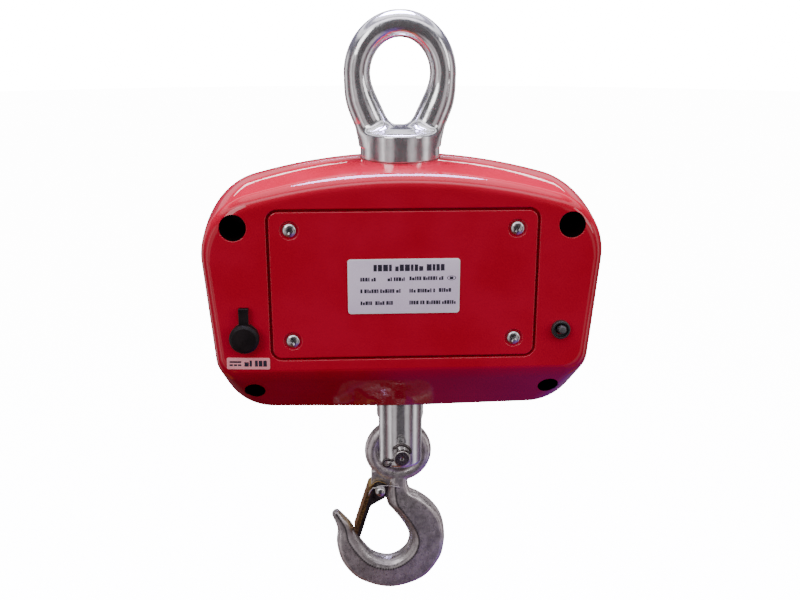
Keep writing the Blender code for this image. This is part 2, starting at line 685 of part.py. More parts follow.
def buttons(look, mat_look):
    for i, x in enumerate(BUTTON_X):
        at = Vector((x, 0, BUTTON_Z))
        profile = [
            (0, 42.3 * MM), (10.5 * MM, 42.3 * MM), (10.5 * MM, 44.6 * MM), (BUTTON_RADIUS, 44.6 * MM),
            (BUTTON_RADIUS, 51 * MM), (BUTTON_RADIUS - 1 * MM, 52 * MM), (0, 52 * MM),
        ]
        add(f"button_{i + 1}", turned(profile, "Y", at, 16), look, at + Vector((0, 52 * MM, 0)))
    outline = [(p.x, p.y + BUTTON_Z) for p in rectangle(118 * MM, 22 * MM, 5 * MM)]
    add("keypad_mat", prism(outline, 38.5 * MM, 40.3 * MM), mat_look)


# Load train ----------------------------------------------------------------------------------


def eye_ring():
    """The ring's bar: half an ellipse over the top, and legs that swell and draw in to the collar."""
    middle = EYE_STOCK - EYE_HALF_HEIGHT
    right = [tuple(v * MM for v in row) for row in smooth(EYE_LEG, 2)]
    top = []
    for k in range(1, 14):
        angle = math.pi * k / 14
        x, z = EYE_HALF_WIDTH * math.cos(angle), middle + EYE_HALF_HEIGHT * math.sin(angle)
        top.append((x, z, EYE_STOCK))
    left = [(-x, z, radius) for x, z, radius in right]
    stations = right[::-1] + top + left
    return tube([(x, 0, z) for x, z, _ in stations], [radius for _, _, radius in stations], 12)


def lifting_eye(look):
    profile = [
        (0, -57.0 * MM), (15 * MM, -57.2 * MM), (20.5 * MM, -58.4 * MM), (24.6 * MM, COLLAR_TOP - 1.4 * MM),
        (COLLAR_RADIUS, COLLAR_TOP - 3 * MM), (COLLAR_RADIUS, COLLAR_BOTTOM), (SHANK_RADIUS, COLLAR_BOTTOM),
        (SHANK_RADIUS, SHANK_END + 1.5 * MM), (SHANK_RADIUS - 1.5 * MM, SHANK_END), (0, SHANK_END),
    ]
    eye = add("lifting_eye", turned(profile[::-1]), look)
    fuse(eye, "lifting_eye_ring", eye_ring())


def top_seal(look):
    inner, outer = SHANK_RADIUS + GAP, NECK_HOLE - GAP
    low, high = HOUSING_Z + 93 * MM, COLLAR_BOTTOM - GAP
    add("top_seal", turned([(inner, low), (outer, low), (outer, high), (inner, high)]), look)


def load_cell(look):
    """An S-beam: two slots from opposite sides and a hole through the thin middle."""
    mid = (CELL_TOP + CELL_BOTTOM) / 2
    beam = block((-CELL_HALF[0], -CELL_HALF[1], CELL_BOTTOM), (*CELL_HALF, CELL_TOP), 1 * MM)
    cell = add("load_cell", beam, look)
    slots = []
    for side, z in ((-1, mid + 11 * MM), (1, mid - 11 * MM)):
        ends = sorted((side * 40 * MM, -side * 15 * MM))
        slots.append(block((ends[0], -20 * MM, z - 1.5 * MM), (ends[1], 20 * MM, z + 1.5 * MM)))
    hole = cylinder(7 * MM, -20 * MM, 20 * MM, "Y", (0, 0, mid), SMALL_ROUND)
    top_bore = cylinder(SHANK_RADIUS + GAP, SHANK_END - GAP, CELL_TOP + 5 * MM)
    low_bore = cylinder(8.3 * MM, CELL_BOTTOM - 5 * MM, CELL_BOTTOM + 21 * MM, steps=SMALL_ROUND)
    cut(cell, "load_cell_cuts", *slots, hole, top_bore, low_bore)


def bearing_yoke(look, steel):
    """A stirrup under the load cell. The swivel's nut hangs on a thrust bearing in its window."""
    low, high = (-30 * MM, -18 * MM, YOKE_BOTTOM), (30 * MM, 18 * MM, YOKE_TOP)
    yoke = add("bearing_yoke", block(low, high, 1 * MM), look)
    window = block((-24 * MM, -30 * MM, HOUSING_Z - 46 * MM), (24 * MM, 30 * MM, HOUSING_Z - 8 * MM))
    cut(yoke, "bearing_yoke_window", window)
    stud_bore = cylinder(8.3 * MM, HOUSING_Z - 12 * MM, HOUSING_Z + 10 * MM, steps=SMALL_ROUND)
    stem_bore = cylinder(STEM_RADIUS + GAP, HOUSING_Z - 70 * MM, HOUSING_Z - 40 * MM)
    cut(yoke, "bearing_yoke_bores", stud_bore, stem_bore)
    add("yoke_stud", cylinder(8 * MM, HOUSING_Z - 9 * MM, HOUSING_Z + 24 * MM, steps=SMALL_ROUND), steel)
    for name, bottom, top in (("bearing_race_lower", -45.7, -42.7), ("bearing_cage", -42.4, -37.4)):
        inner, outer = STEM_RADIUS + 0.8 * MM, 21.5 * MM
        low, high = HOUSING_Z + bottom * MM, HOUSING_Z + top * MM
        add(name, turned([(inner, low), (outer, low), (outer, high), (inner, high)]), steel)


def swivel_parts(look, steel, dark):
    """The clevis on its stem, the nut and race that carry it, and the pin that carries the hook."""
    swivel = axis_empty("hook_swivel_axis", (0, 0, CLEVIS_TOP))
    round_end = 4 * MM
    profile = [
        (0, CLEVIS_BOTTOM), (CLEVIS_RADIUS - round_end, CLEVIS_BOTTOM),
        (CLEVIS_RADIUS - 0.3 * round_end, CLEVIS_BOTTOM + 0.3 * round_end),
        (CLEVIS_RADIUS, CLEVIS_BOTTOM + round_end), (CLEVIS_RADIUS, CLEVIS_TOP),
        (STEM_RADIUS, CLEVIS_TOP), (STEM_RADIUS, HOUSING_Z - 17 * MM), (0, HOUSING_Z - 16 * MM),
    ]
    clevis = add("swivel_clevis", turned(profile), look, swivel.location, swivel)
    slot = block((-30 * MM, -SLOT_HALF, CLEVIS_BOTTOM - 10 * MM), (30 * MM, SLOT_HALF, SLOT_TOP))
    bore = cylinder(PIN_RADIUS + 0.2 * MM, -30 * MM, 30 * MM, "Y", (0, 0, PIN_Z), 24)
    hang(cut(clevis, "swivel_clevis_slot", slot), swivel)
    hang(cut(clevis, "swivel_clevis_bore", bore), swivel)
    inner, outer = STEM_RADIUS + GAP, 21.5 * MM
    low, high = HOUSING_Z - 37.1 * MM, HOUSING_Z - 34.1 * MM
    race = turned([(inner, low), (outer, low), (outer, high), (inner, high)])
    add("bearing_race_upper", race, steel, swivel.location, swivel)
    nut = hexagon(20.5 * MM, HOUSING_Z - 33.8 * MM, HOUSING_Z - 21.8 * MM)
    nut = add("stem_nut", nut, steel, swivel.location, swivel)
    thread = cylinder(STEM_RADIUS + GAP, HOUSING_Z - 50 * MM, HOUSING_Z - 10 * MM)
    hang(cut(nut, "stem_nut_bore", thread), swivel)
    hook_pin(look, swivel)
    cotter_pin(dark, swivel)
    return swivel


def hook_pin(look, swivel):
    chamfer = 1.2 * MM
    profile = [
        (0, PIN_NEAR_END), (PIN_RADIUS - chamfer, PIN_NEAR_END), (PIN_RADIUS, PIN_NEAR_END + chamfer),
        (PIN_RADIUS, PIN_FAR_END), (8.5 * MM, PIN_FAR_END), (8.5 * MM, PIN_FAR_END + 3 * MM),
        (7.5 * MM, PIN_FAR_END + 4 * MM), (0, PIN_FAR_END + 4 * MM),
    ]
    pin = add("hook_pin", turned(profile, "Y", (0, 0, PIN_Z), 24), look, (0, 0, PIN_Z), swivel)
    hole = cylinder(1.7 * MM, -20 * MM, 20 * MM, "X", (0, 0, 0), 12)
    bmesh.ops.rotate(hole, cent=(0, 0, 0), matrix=Matrix.Rotation(-COTTER_TURN, 3, "Y"), verts=hole.verts)
    bmesh.ops.translate(hole, vec=(0, COTTER_Y, PIN_Z), verts=hole.verts)
    hang(cut(pin, "hook_pin_cotter_hole", hole), swivel)


def cotter_pin(look, swivel):
    """A wire through the pin: an eye at one side, and its end bent over the pin at the other."""
    flat = []
    for k in range(15):
        angle = math.radians(25 + 300 * k / 14)
        flat.append((-11.6 + 2.6 * math.cos(angle), 2.6 * math.sin(angle)))
    flat = flat[::-1]
    flat += [(-7.6, 0.0), (0, 0.0), (7.4, 0.0)]
    for k in range(1, 8):
        angle = math.radians(16 * k)
        flat.append((7.4 * math.cos(angle) + 0.9 * math.sin(angle), 8.6 * math.sin(angle)))
    turn = Matrix.Rotation(COTTER_TURN, 2)
    path = []
    for x, z in flat:
        p = turn @ Vector((x * MM, z * MM))
        path.append((p.x, COTTER_Y, PIN_Z + p.y))
    add("cotter_pin", tube(path, 1.1 * MM, 6), look, (0, COTTER_Y, PIN_Z), swivel)


# Hook ----------------------------------------------------------------------------------------


def hook_section(row):
    """One section across the forging: a narrow rounded seat, a bevel, a flat side and a round back."""
    inner, outer = Vector((row[0], 0, row[1])), Vector((row[2], 0, row[3]))
    across = outer - inner
    width = across.length
    across.normalize()
    half = row[4] * MM
    bevel = min(HOOK_BEVEL / MM, 0.42 * width)
    edge = min(3.2, 0.25 * width)
    side = [(0.0, 0.34), (0.35 * bevel, 0.78), (bevel, 1.0), (width - edge, 0.94),
            (width - 0.3 * edge, 0.74), (width, 0.34)]
    section = side + [(u, -v) for u, v in reversed(side)]
    centre = Vector((0, 0, PIN_Z))
    return [centre + (inner + across * u) * MM + Vector((0, v * half, 0)) for u, v in section]


def hook_parts(swivel, look, steel, spring_look):
    hinge = axis_empty("hook_swing_axis", (0, 0, PIN_Z), swivel)
    stations = [Vector(row) for row in HOOK_STATIONS]
    hook = add("hook", skin([hook_section(row) for row in stations]), look, hinge.location, hinge)
    x, z = HOOK_EYE
    at = (x, 0, PIN_Z + z)
    middle = HOOK_EYE_HOLE + HOOK_EYE_STOCK
    section = []
    for k in range(8):
        angle = 2 * math.pi * (k + 0.5) / 8
        section.append((middle + HOOK_EYE_STOCK * math.cos(angle), HOOK_EYE_HALF_THICK * math.sin(angle)))
    hang(fuse(hook, "hook_eye", turned(section, "Y", at, 28)), hinge)
    lug = [(p.x, p.y + PIN_Z) for p in rounded([(a * MM, b * MM, r * MM) for a, b, r in LUG_OUTLINE], 3)]
    hang(fuse(hook, "hook_lug", prism(lug, -LUG_HALF, LUG_HALF)), hinge)
    rivet_at = (LATCH_AT[0], 0, LATCH_AT[1])
    clear = cylinder(HOOK_EYE_HOLE, -9 * MM, 9 * MM, "Y", at, 28)
    rivet_hole = cylinder(RIVET_RADIUS + GAP, -9 * MM, 9 * MM, "Y", rivet_at, 12)
    hang(cut(hook, "hook_eye_clearance", clear), hinge)
    hang(cut(hook, "hook_rivet_hole", rivet_hole), hinge)
    rivet(rivet_at, steel, hinge)
    latch_spring(rivet_at, spring_look, hinge)
    return hinge


def rivet(at, look, hinge):
    head, shaft_near, shaft_far = 3.6 * MM, -11.2 * MM, LATCH_HALF + GAP
    profile = [
        (0, shaft_near - 1.8 * MM), (head * 0.7, shaft_near - 1.4 * MM), (head, shaft_near),
        (RIVET_RADIUS, shaft_near), (RIVET_RADIUS, shaft_far), (head, shaft_far),
        (head * 0.7, shaft_far + 1.4 * MM), (0, shaft_far + 1.8 * MM),
    ]
    add("latch_rivet", turned(profile, "Y", at, 16), look, at, hinge)


def latch_spring(at, look, hinge):
    """A torsion spring on the rivet: three turns, one leg on the hook's neck and one on the latch."""
    radius, wire, turns, steps = 3.3, 0.45, 3, 10
    path = [(14.0, -8.2, 2.0), (6.0, -7.95, 3.3)]
    for k in range(turns * steps + 1):
        angle = math.pi / 2 + 2 * math.pi * k / steps
        path.append((radius * math.cos(angle), -7.95 - 2.6 * k / (turns * steps), radius * math.sin(angle)))
    path += [(-5.5, -10.55, 3.1), (-8.6, -10.0, -3.0)]
    origin = Vector(at)
    path = [origin + Vector(p) * MM for p in path]
    add("latch_spring", tube(path, wire * MM, 5), look, at, hinge)


def safety_latch(hook_hinge, look):
    """A folded sheet channel. Its web is on the outside and its cheeks run over the lug."""
    at = Vector((LATCH_AT[0], 0, LATCH_AT[1]))
    hinge = axis_empty("latch_axis", at, hook_hinge)
    turn = Matrix.Rotation(LATCH_LEAN, 3, "Y")

    def placed(bm):
        bmesh.ops.rotate(bm, cent=(0, 0, 0), matrix=turn, verts=bm.verts)
        bmesh.ops.translate(bm, vec=at, verts=bm.verts)
        return bm

    outline = [tuple(p) for p in rounded([(x * MM, z * MM, r * MM) for x, z, r in LATCH_CHEEK], 3)]
    latch = add("safety_latch", placed(prism(outline, -LATCH_HALF, LATCH_HALF)), look, at, hinge)
    half = LATCH_HALF - SHEET
    inside = block((LATCH_WEB + SHEET, -half, -60 * MM), (20 * MM, half, 20 * MM))
    bore = cylinder(RIVET_RADIUS + GAP, -9 * MM, 9 * MM, "Y", (0, 0, 0), 12)
    hang(cut(latch, "safety_latch_inside", placed(inside)), hinge)
    hang(cut(latch, "safety_latch_bore", placed(bore)), hinge)


def main():
    clear_scene()
    paint = material("crimson_paint", (0.42, 0.006, 0.015), 0.18)
    chrome = material("chrome", (0.78, 0.78, 0.8), 0.08, 1.0)
    forged = material("forged_steel", (0.42, 0.40, 0.40), 0.34, 1.0)
    steel = material("bright_steel", (0.6, 0.6, 0.62), 0.28, 1.0)
    aluminium = material("aluminium", (0.72, 0.73, 0.75), 0.35, 1.0)
    zinc = material("yellow_zinc", (0.62, 0.47, 0.2), 0.35, 1.0)
    wire = material("dark_wire", (0.12, 0.11, 0.11), 0.4, 1.0)
    rubber = material("black_rubber", (0.012, 0.012, 0.013), 0.6)
    plastic = material("black_plastic", (0.02, 0.02, 0.022), 0.45)
    label = material("label_stock", (0.74, 0.72, 0.78), 0.4)
    sticker = material("sticker_stock", (0.85, 0.72, 0.74), 0.4)
    window = material("display_filter", (0.16, 0.01, 0.012), 0.08)
    board = material("circuit_board", (0.02, 0.16, 0.06), 0.5)
    digit = material("led_digit", (0.09, 0.09, 0.1), 0.4)
    wrap = material("battery_wrap", (0.03, 0.08, 0.3), 0.4)
    key = material("grey_key", (0.18, 0.18, 0.19), 0.5)

    rear_shell(paint)
    front_shell(paint)
    shell_gaskets(rubber)
    case_screws(steel)
    bottom_seal(rubber)
    battery_cover(paint)
    cover_gasket(rubber)
    cover_screws(steel)
    nameplate(label)
    dc_power_sticker(sticker)
    battery_parts(plastic, wrap)
    charging_socket(plastic, steel)
    charging_cap(rubber)
    power_switch(plastic, rubber, key)
    display_parts(window, board, digit, steel)
    buttons(key, rubber)
    lifting_eye(chrome)
    top_seal(rubber)
    load_cell(aluminium)
    bearing_yoke(steel, steel)
    swivel = swivel_parts(chrome, steel, wire)
    hook_hinge = hook_parts(swivel, forged, steel, steel)
    safety_latch(hook_hinge, zinc)


main()
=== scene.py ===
"""Looks of the hanging crane scale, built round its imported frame. Every length is in metres."""
import json
import math

import bmesh
import bpy
import numpy as np
from mathutils import Matrix, Vector

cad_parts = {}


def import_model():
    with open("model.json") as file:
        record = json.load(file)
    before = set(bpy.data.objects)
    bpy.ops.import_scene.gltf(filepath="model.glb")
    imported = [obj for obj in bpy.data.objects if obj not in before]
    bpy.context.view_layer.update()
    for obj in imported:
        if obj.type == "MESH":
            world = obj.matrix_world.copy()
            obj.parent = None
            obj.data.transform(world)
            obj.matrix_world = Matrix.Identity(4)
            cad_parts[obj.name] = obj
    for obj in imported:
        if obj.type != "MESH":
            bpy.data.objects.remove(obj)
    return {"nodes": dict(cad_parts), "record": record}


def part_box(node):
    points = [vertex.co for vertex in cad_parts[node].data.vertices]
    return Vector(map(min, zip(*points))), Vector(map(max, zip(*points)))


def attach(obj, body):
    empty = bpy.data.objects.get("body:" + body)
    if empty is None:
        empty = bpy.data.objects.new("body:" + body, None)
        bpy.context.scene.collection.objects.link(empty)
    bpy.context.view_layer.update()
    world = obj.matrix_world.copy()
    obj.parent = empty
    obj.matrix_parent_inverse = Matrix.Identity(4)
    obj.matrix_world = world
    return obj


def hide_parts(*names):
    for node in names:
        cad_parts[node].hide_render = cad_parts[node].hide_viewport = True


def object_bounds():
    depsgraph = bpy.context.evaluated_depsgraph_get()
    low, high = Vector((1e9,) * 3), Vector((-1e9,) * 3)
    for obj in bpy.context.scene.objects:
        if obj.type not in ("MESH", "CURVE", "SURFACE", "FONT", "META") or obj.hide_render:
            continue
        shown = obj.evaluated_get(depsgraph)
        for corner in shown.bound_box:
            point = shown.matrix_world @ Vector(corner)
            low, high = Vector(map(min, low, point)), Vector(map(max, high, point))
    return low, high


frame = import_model()
CAD_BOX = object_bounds()

MM = 0.001
ROUND = 96
SMALL_ROUND = 48

# Anchors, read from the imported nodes
FACE_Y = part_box("rear_shell")[0].y
COVER_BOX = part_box("battery_cover")
COVER_Z = (COVER_BOX[0].z + COVER_BOX[1].z) / 2
HOUSING_Z = COVER_Z - 25 * MM
PIN_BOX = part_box("hook_pin")
PIN_Z = (PIN_BOX[0].z + PIN_BOX[1].z) / 2
EYE_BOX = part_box("lifting_eye")
CLEVIS_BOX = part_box("swivel_clevis")
SOCKET_AT = Vector((-103 * MM, 0, HOUSING_Z - 8 * MM))
SWITCH_AT = Vector((103 * MM, 0, HOUSING_Z - 6 * MM))
STICKER_AT = Vector((-101.6 * MM, 0, HOUSING_Z - 26.5 * MM))
LATCH_AT = Vector((-15 * MM, 0, PIN_Z - 35.4 * MM))
WINDOW_Z = HOUSING_Z + 34 * MM
BUTTON_Z = HOUSING_Z - 15 * MM

# Housing
CROWN_APEX = 114.3 * MM
CROWN_RADIUS = 370 * MM
CROWN_DROP = 4.5 * MM
SHOULDER = (133.2 * MM, 79.5 * MM)
SHOULDER_RADIUS = 42 * MM
SIDE_TAPER = 0.0794
FLOOR = -70.3 * MM
FLOOR_CAMBER = 2.5 * MM
FLOOR_RADIUS = 900 * MM
FLOOR_CORNER = 35 * MM
SLANT_CORNER = 12 * MM
DEPTH = 50 * MM
SEAM = 0.7 * MM
WALL = 3.5 * MM
BARREL = 0.7
FACET_SLACK = 0.17 * MM
EDGE_RADIUS = 7 * MM
SLANT_START = 18.6 * MM
SLANT_END = -34 * MM
SLANT_BLEND = 2.5 * MM
BOSS_RADIUS = 30.5 * MM
BOSS_TOP = 99.3 * MM
SEAT_RADIUS = 27.1 * MM
NECK_HOLE = 15 * MM
FLOOR_HOLE = 18.4 * MM
CASE_SCREWS = (
    (-107.5 * MM, 63.7 * MM, 8.5 * MM),
    (107.5 * MM, 63.7 * MM, 8.5 * MM),
    (-100 * MM, -52 * MM, 7 * MM),
    (100 * MM, -52 * MM, 7 * MM),
)
COVER_SIZE = (170.5 * MM, 97 * MM)
COVER_CORNER = 6 * MM
COVER_GROOVE = 1.6 * MM
COVER_SCREWS = (144.5 * MM, 73.6 * MM)
LEDGE_Y = -45.8 * MM

# Hook, in mm from its pin: inner x, inner z, outer x, outer z, half thickness
HOOK_STATIONS = (
    (-10, -24, 8, -24, 5.4),
    (-10.5, -31, 5.6, -30, 6.2),
    (-11, -40, 7.5, -39, 6.8),
    (-9.5, -50, 15, -43.5, 7.6),
    (-5.5, -55.4, 24, -51, 8.0),
    (0.5, -63.5, 31, -61.5, 8.2),
    (5, -71.4, 33.6, -74, 8.4),
    (6.7, -78.4, 33.4, -84, 8.5),
    (4.6, -86.5, 30, -97.2, 8.5),
    (-2, -93, 17, -113.2, 8.5),
    (-10, -95.4, -7, -120.6, 8.5),
    (-20, -92, -30, -114.0, 8.2),
    (-27, -84.5, -43, -100.5, 7.6),
    (-32.6, -75.4, -48, -84, 6.8),
    (-36.6, -66.6, -47.4, -71.5, 5.6),
    (-41.6, -60.5, -48.9, -64.8, 4.8),
    (-45.8, -55.6, -51.2, -59.4, 3.6),
)
HOOK_BEVEL = 7.5
HOOK_EYE = (-1.5 * MM, -7 * MM)
HOOK_VOXEL = 0.45 * MM
STRIPE_X = -5.7 * MM


# Camera ------------------------------------------------------------------------------------------


def make_camera():
    """Behind the scale, a little to its left, looking 17 degrees down at the load axis."""
    target = Vector((0, 0, HOUSING_Z))
    back = Vector((-0.0478, -0.9553, 0.2924)).normalized()
    data = bpy.data.cameras.new("camera")
    data.sensor_width = 36
    data.lens = 41.67
    data.clip_start, data.clip_end = 0.01, 50
    camera = bpy.data.objects.new("camera", data)
    bpy.context.scene.collection.objects.link(camera)
    camera.location = target + 0.65 * back
    camera.rotation_mode = "QUATERNION"
    camera.rotation_quaternion = (-back).to_track_quat("-Z", "Y")
    bpy.context.scene.camera = camera


# Materials ---------------------------------------------------------------------------------------


def node(tree, kind, **settings):
    made = tree.nodes.new(kind)
    for key, value in settings.items():
        setattr(made, key, value)
    return made


def link(tree, source, target):
    tree.links.new(source, target)


def noise(tree, scale, detail=3.0, stretch=(1, 1, 1), roughness=0.5):
    """Noise in metres on the object's own coordinates."""
    coords = node(tree, "ShaderNodeTexCoord")
    mapping = node(tree, "ShaderNodeMapping")
    mapping.inputs["Scale"].default_value = stretch
    texture = node(tree, "ShaderNodeTexNoise")
    texture.inputs["Scale"].default_value = scale
    texture.inputs["Detail"].default_value = detail
    texture.inputs["Roughness"].default_value = roughness
    link(tree, coords.outputs["Object"], mapping.inputs["Vector"])
    link(tree, mapping.outputs["Vector"], texture.inputs["Vector"])
    return texture.outputs["Fac"]


def ramp(tree, source, low, high, start=0.35, end=0.65):
    made = node(tree, "ShaderNodeMapRange")
    made.inputs["From Min"].default_value = start
    made.inputs["From Max"].default_value = end
    made.inputs["To Min"].default_value = low
    made.inputs["To Max"].default_value = high
    link(tree, source, made.inputs["Value"])
    return made.outputs["Result"]


def mixed(tree, factor, one, other):
    """A colour between two, where each is a colour or a socket."""
    made = node(tree, "ShaderNodeMix", data_type="RGBA")
    link(tree, factor, made.inputs["Factor"])
    for name, colour in (("A", one), ("B", other)):
        socket = [s for s in made.inputs if s.name == name and s.type == "RGBA"][0]
        if isinstance(colour, tuple):
            socket.default_value = (*colour, 1)
        else:
            link(tree, colour, socket)
    return [s for s in made.outputs if s.type == "RGBA"][0]


def bumped(tree, height, distance, strength, normal=None):
    made = node(tree, "ShaderNodeBump")
    made.inputs["Distance"].default_value = distance
    made.inputs["Strength"].default_value = strength
    link(tree, height, made.inputs["Height"])
    if normal:
        link(tree, normal, made.inputs["Normal"])
    return made.outputs["Normal"]


def blank(name, metallic=0.0, **sockets):
    """A new material, its node tree and its shader, with constants set on the shader itself."""
    made = bpy.data.materials.new(name)
    made.use_nodes = True
    shader = made.node_tree.nodes["Principled BSDF"]
    shader.inputs["Metallic"].default_value = metallic
    for key, value in sockets.items():
        shader.inputs[key.replace("_", " ")].default_value = value
    return made, made.node_tree, shader


def surface(name, colour, other, rough, metallic=0.0, grain=90.0, fine=900.0, bump=0.02, strength=0.3,
            stretch=(1, 1, 1), **sockets):
    """Two tones in cloudy patches, uneven roughness, and a fine grain in relief."""
    made, tree, shader = blank(name, metallic, **sockets)
    patches = noise(tree, grain, 4)
    grains = noise(tree, fine, 3, stretch)
    link(tree, mixed(tree, ramp(tree, patches, 0, 1), colour, other), shader.inputs["Base Color"])
    link(tree, ramp(tree, grains, *rough), shader.inputs["Roughness"])
    link(tree, bumped(tree, grains, bump * MM, strength), shader.inputs["Normal"])
    return made


def paint_look():
    """Crimson gloss over a metal shell, with orange peel in both the colour and the lacquer."""
    made, tree, shader = blank("paint", 0.0, Coat_Weight=1.0, Coat_Roughness=0.035, Coat_IOR=1.5,
                               Specular_IOR_Level=0.0)
    cloudy = mixed(tree, ramp(tree, noise(tree, 28, 3), 0, 1), (0.41, 0.0045, 0.020), (0.45, 0.006, 0.027))
    link(tree, cloudy, shader.inputs["Base Color"])
    link(tree, ramp(tree, noise(tree, 420, 3), 0.30, 0.40), shader.inputs["Roughness"])
    peel = bumped(tree, noise(tree, 330, 2), 0.05 * MM, 0.35)
    waves = bumped(tree, noise(tree, 70, 2), 0.12 * MM, 0.25, peel)
    link(tree, waves, shader.inputs["Coat Normal"])
    link(tree, peel, shader.inputs["Normal"])
    return made


def chrome_look(name="chrome", waviness=0.5, tone=(0.80, 0.79, 0.80)):
    """Plated steel over a ground forging: long soft waves, tiny pits and faint wipe marks."""
    made, tree, shader = blank(name, 0.88)
    darker = tuple(c * 0.86 for c in tone)
    link(tree, mixed(tree, ramp(tree, noise(tree, 160, 5), 0, 1), tone, darker), shader.inputs["Base Color"])
    wipes = noise(tree, 700, 4, (1, 1, 0.12))
    link(tree, ramp(tree, wipes, 0.09, 0.20), shader.inputs["Roughness"])
    long_waves = bumped(tree, noise(tree, 110, 2), 0.22 * MM, waviness)
    pits = bumped(tree, noise(tree, 1500, 3), 0.012 * MM, 0.5, long_waves)
    link(tree, pits, shader.inputs["Normal"])
    return made


def forged_look():
    """Satin plated forging in cloudy tones, with painted shade: a dark line along its ridge and a darker band over
    its seat.
    """
    made, tree, shader = blank("forged", 0.86)
    tone = mixed(tree, ramp(tree, noise(tree, 170, 5), 0, 1), (0.68, 0.62, 0.63), (0.43, 0.39, 0.40))
    # painted shade: the per-point attribute blends the tone towards near-black along the ridge and over the seat
    line = node(tree, "ShaderNodeAttribute", attribute_name="painted_ridge_shade")
    dark = mixed(tree, line.outputs["Fac"], tone, (0.028, 0.022, 0.024))
    link(tree, dark, shader.inputs["Base Color"])
    link(tree, ramp(tree, noise(tree, 500, 5), 0.26, 0.42), shader.inputs["Roughness"])
    dents = bumped(tree, noise(tree, 230, 4), 0.4 * MM, 0.45)
    skin_grain = bumped(tree, noise(tree, 1300, 3), 0.03 * MM, 0.5, dents)
    link(tree, skin_grain, shader.inputs["Normal"])
    return made


def make_looks():
    looks = {
        "paint": paint_look(),
        "chrome": chrome_look(),
        "forged": forged_look(),
        "steel": surface("steel", (0.62, 0.60, 0.60), (0.48, 0.47, 0.47), (0.16, 0.30), 1.0, 220, 1800),
        "aluminium": surface("aluminium", (0.74, 0.75, 0.77), (0.62, 0.63, 0.66), (0.28, 0.42), 1.0, 60, 900,
                             0.03, 0.3, (1, 1, 0.05)),
        "zinc": surface("zinc", (0.66, 0.45, 0.12), (0.50, 0.36, 0.16), (0.22, 0.36), 1.0, 120, 1200),
        # painted shade: dark metal for the latch's inner cheek faces, standing for the shadow inside the channel
        "painted_shade_cheek": surface("painted_shade_cheek", (0.16, 0.14, 0.14), (0.07, 0.06, 0.06), (0.25, 0.45), 1.0, 180, 1100),
        "wire": surface("wire", (0.17, 0.15, 0.15), (0.07, 0.06, 0.06), (0.22, 0.4), 1.0, 240, 1500),
        "rubber": surface("rubber", (0.006, 0.0035, 0.004), (0.011, 0.007, 0.008), (0.40, 0.55), 0.0, 160, 1400,
                          Specular_IOR_Level=0.2),
        "plastic": surface("plastic", (0.017, 0.017, 0.018), (0.028, 0.028, 0.03), (0.32, 0.46), 0.0, 120, 1700),
        "label": surface("label", (0.76, 0.63, 0.82), (0.82, 0.69, 0.87), (0.22, 0.32), 0.0, 45, 1900, 0.01),
        "label_edge": surface("label_edge", (0.78, 0.76, 0.84), (0.84, 0.82, 0.88), (0.3, 0.4), 0.0, 45, 1900, 0.01),
        "ink": surface("ink", (0.012, 0.010, 0.022), (0.03, 0.024, 0.045), (0.4, 0.5), 0.0, 400, 1900, 0.01),
        "sticker": surface("sticker", (0.85, 0.28, 0.33), (0.90, 0.36, 0.40), (0.3, 0.4), 0.0, 60, 1900, 0.01),
        "board": surface("board", (0.012, 0.11, 0.035), (0.02, 0.16, 0.05), (0.3, 0.45), 0.0, 130, 1200),
        "digit": surface("digit", (0.035, 0.035, 0.038), (0.05, 0.05, 0.053), (0.3, 0.45), 0.0, 130, 1200),
        "wrap": surface("wrap", (0.02, 0.06, 0.24), (0.03, 0.08, 0.3), (0.2, 0.35), 0.0, 60, 500, 0.05),
        # painted shade: near-black paint for the insides of the deep screw bores, which lie in shadow
        "painted_shade_well": surface("painted_shade_well", (0.004, 0.0008, 0.0012), (0.006, 0.001, 0.0016), (0.5, 0.6), 0.0, 120, 900,
                        Specular_IOR_Level=0.15),
        "lever": surface("lever", (0.045, 0.042, 0.044), (0.07, 0.066, 0.068), (0.3, 0.45), 0.0, 160, 1500),
        "key": surface("key", (0.13, 0.125, 0.13), (0.17, 0.165, 0.17), (0.4, 0.55), 0.0, 160, 1500),
        "mark": surface("mark", (0.72, 0.72, 0.72), (0.6, 0.6, 0.6), (0.4, 0.5), 0.0, 300, 1500, 0.01),
        "window": window_look(),
        "unlit": surface("unlit", (0.10, 0.035, 0.035), (0.13, 0.05, 0.05), (0.3, 0.4), 0.0, 200, 1500),
        "lit": lit_look(),
    }
    return looks


def window_look():
    """Dark red display filter: clear acrylic with a faint haze and hairline scratches."""
    made, tree, shader = blank("window", 0.0, IOR=1.49, Transmission_Weight=0.9, Coat_Weight=0.5)
    haze = mixed(tree, ramp(tree, noise(tree, 60, 4), 0, 1), (0.34, 0.012, 0.014), (0.30, 0.010, 0.012))
    link(tree, haze, shader.inputs["Base Color"])
    link(tree, ramp(tree, noise(tree, 800, 4, (1, 1, 0.1)), 0.03, 0.10), shader.inputs["Roughness"])
    return made


def lit_look():
    """A lit segment, its glow a little uneven in patches."""
    made, tree, shader = blank("lit", 0.0, Emission_Strength=7.0)
    glow = mixed(tree, ramp(tree, noise(tree, 300, 2), 0, 1), (1.0, 0.06, 0.03), (1.0, 0.11, 0.05))
    link(tree, glow, shader.inputs["Emission Color"])
    link(tree, ramp(tree, noise(tree, 900, 2), 0.3, 0.4), shader.inputs["Roughness"])
    link(tree, glow, shader.inputs["Base Color"])
    return made


# Outlines ----------------------------------------------------------------------------------------


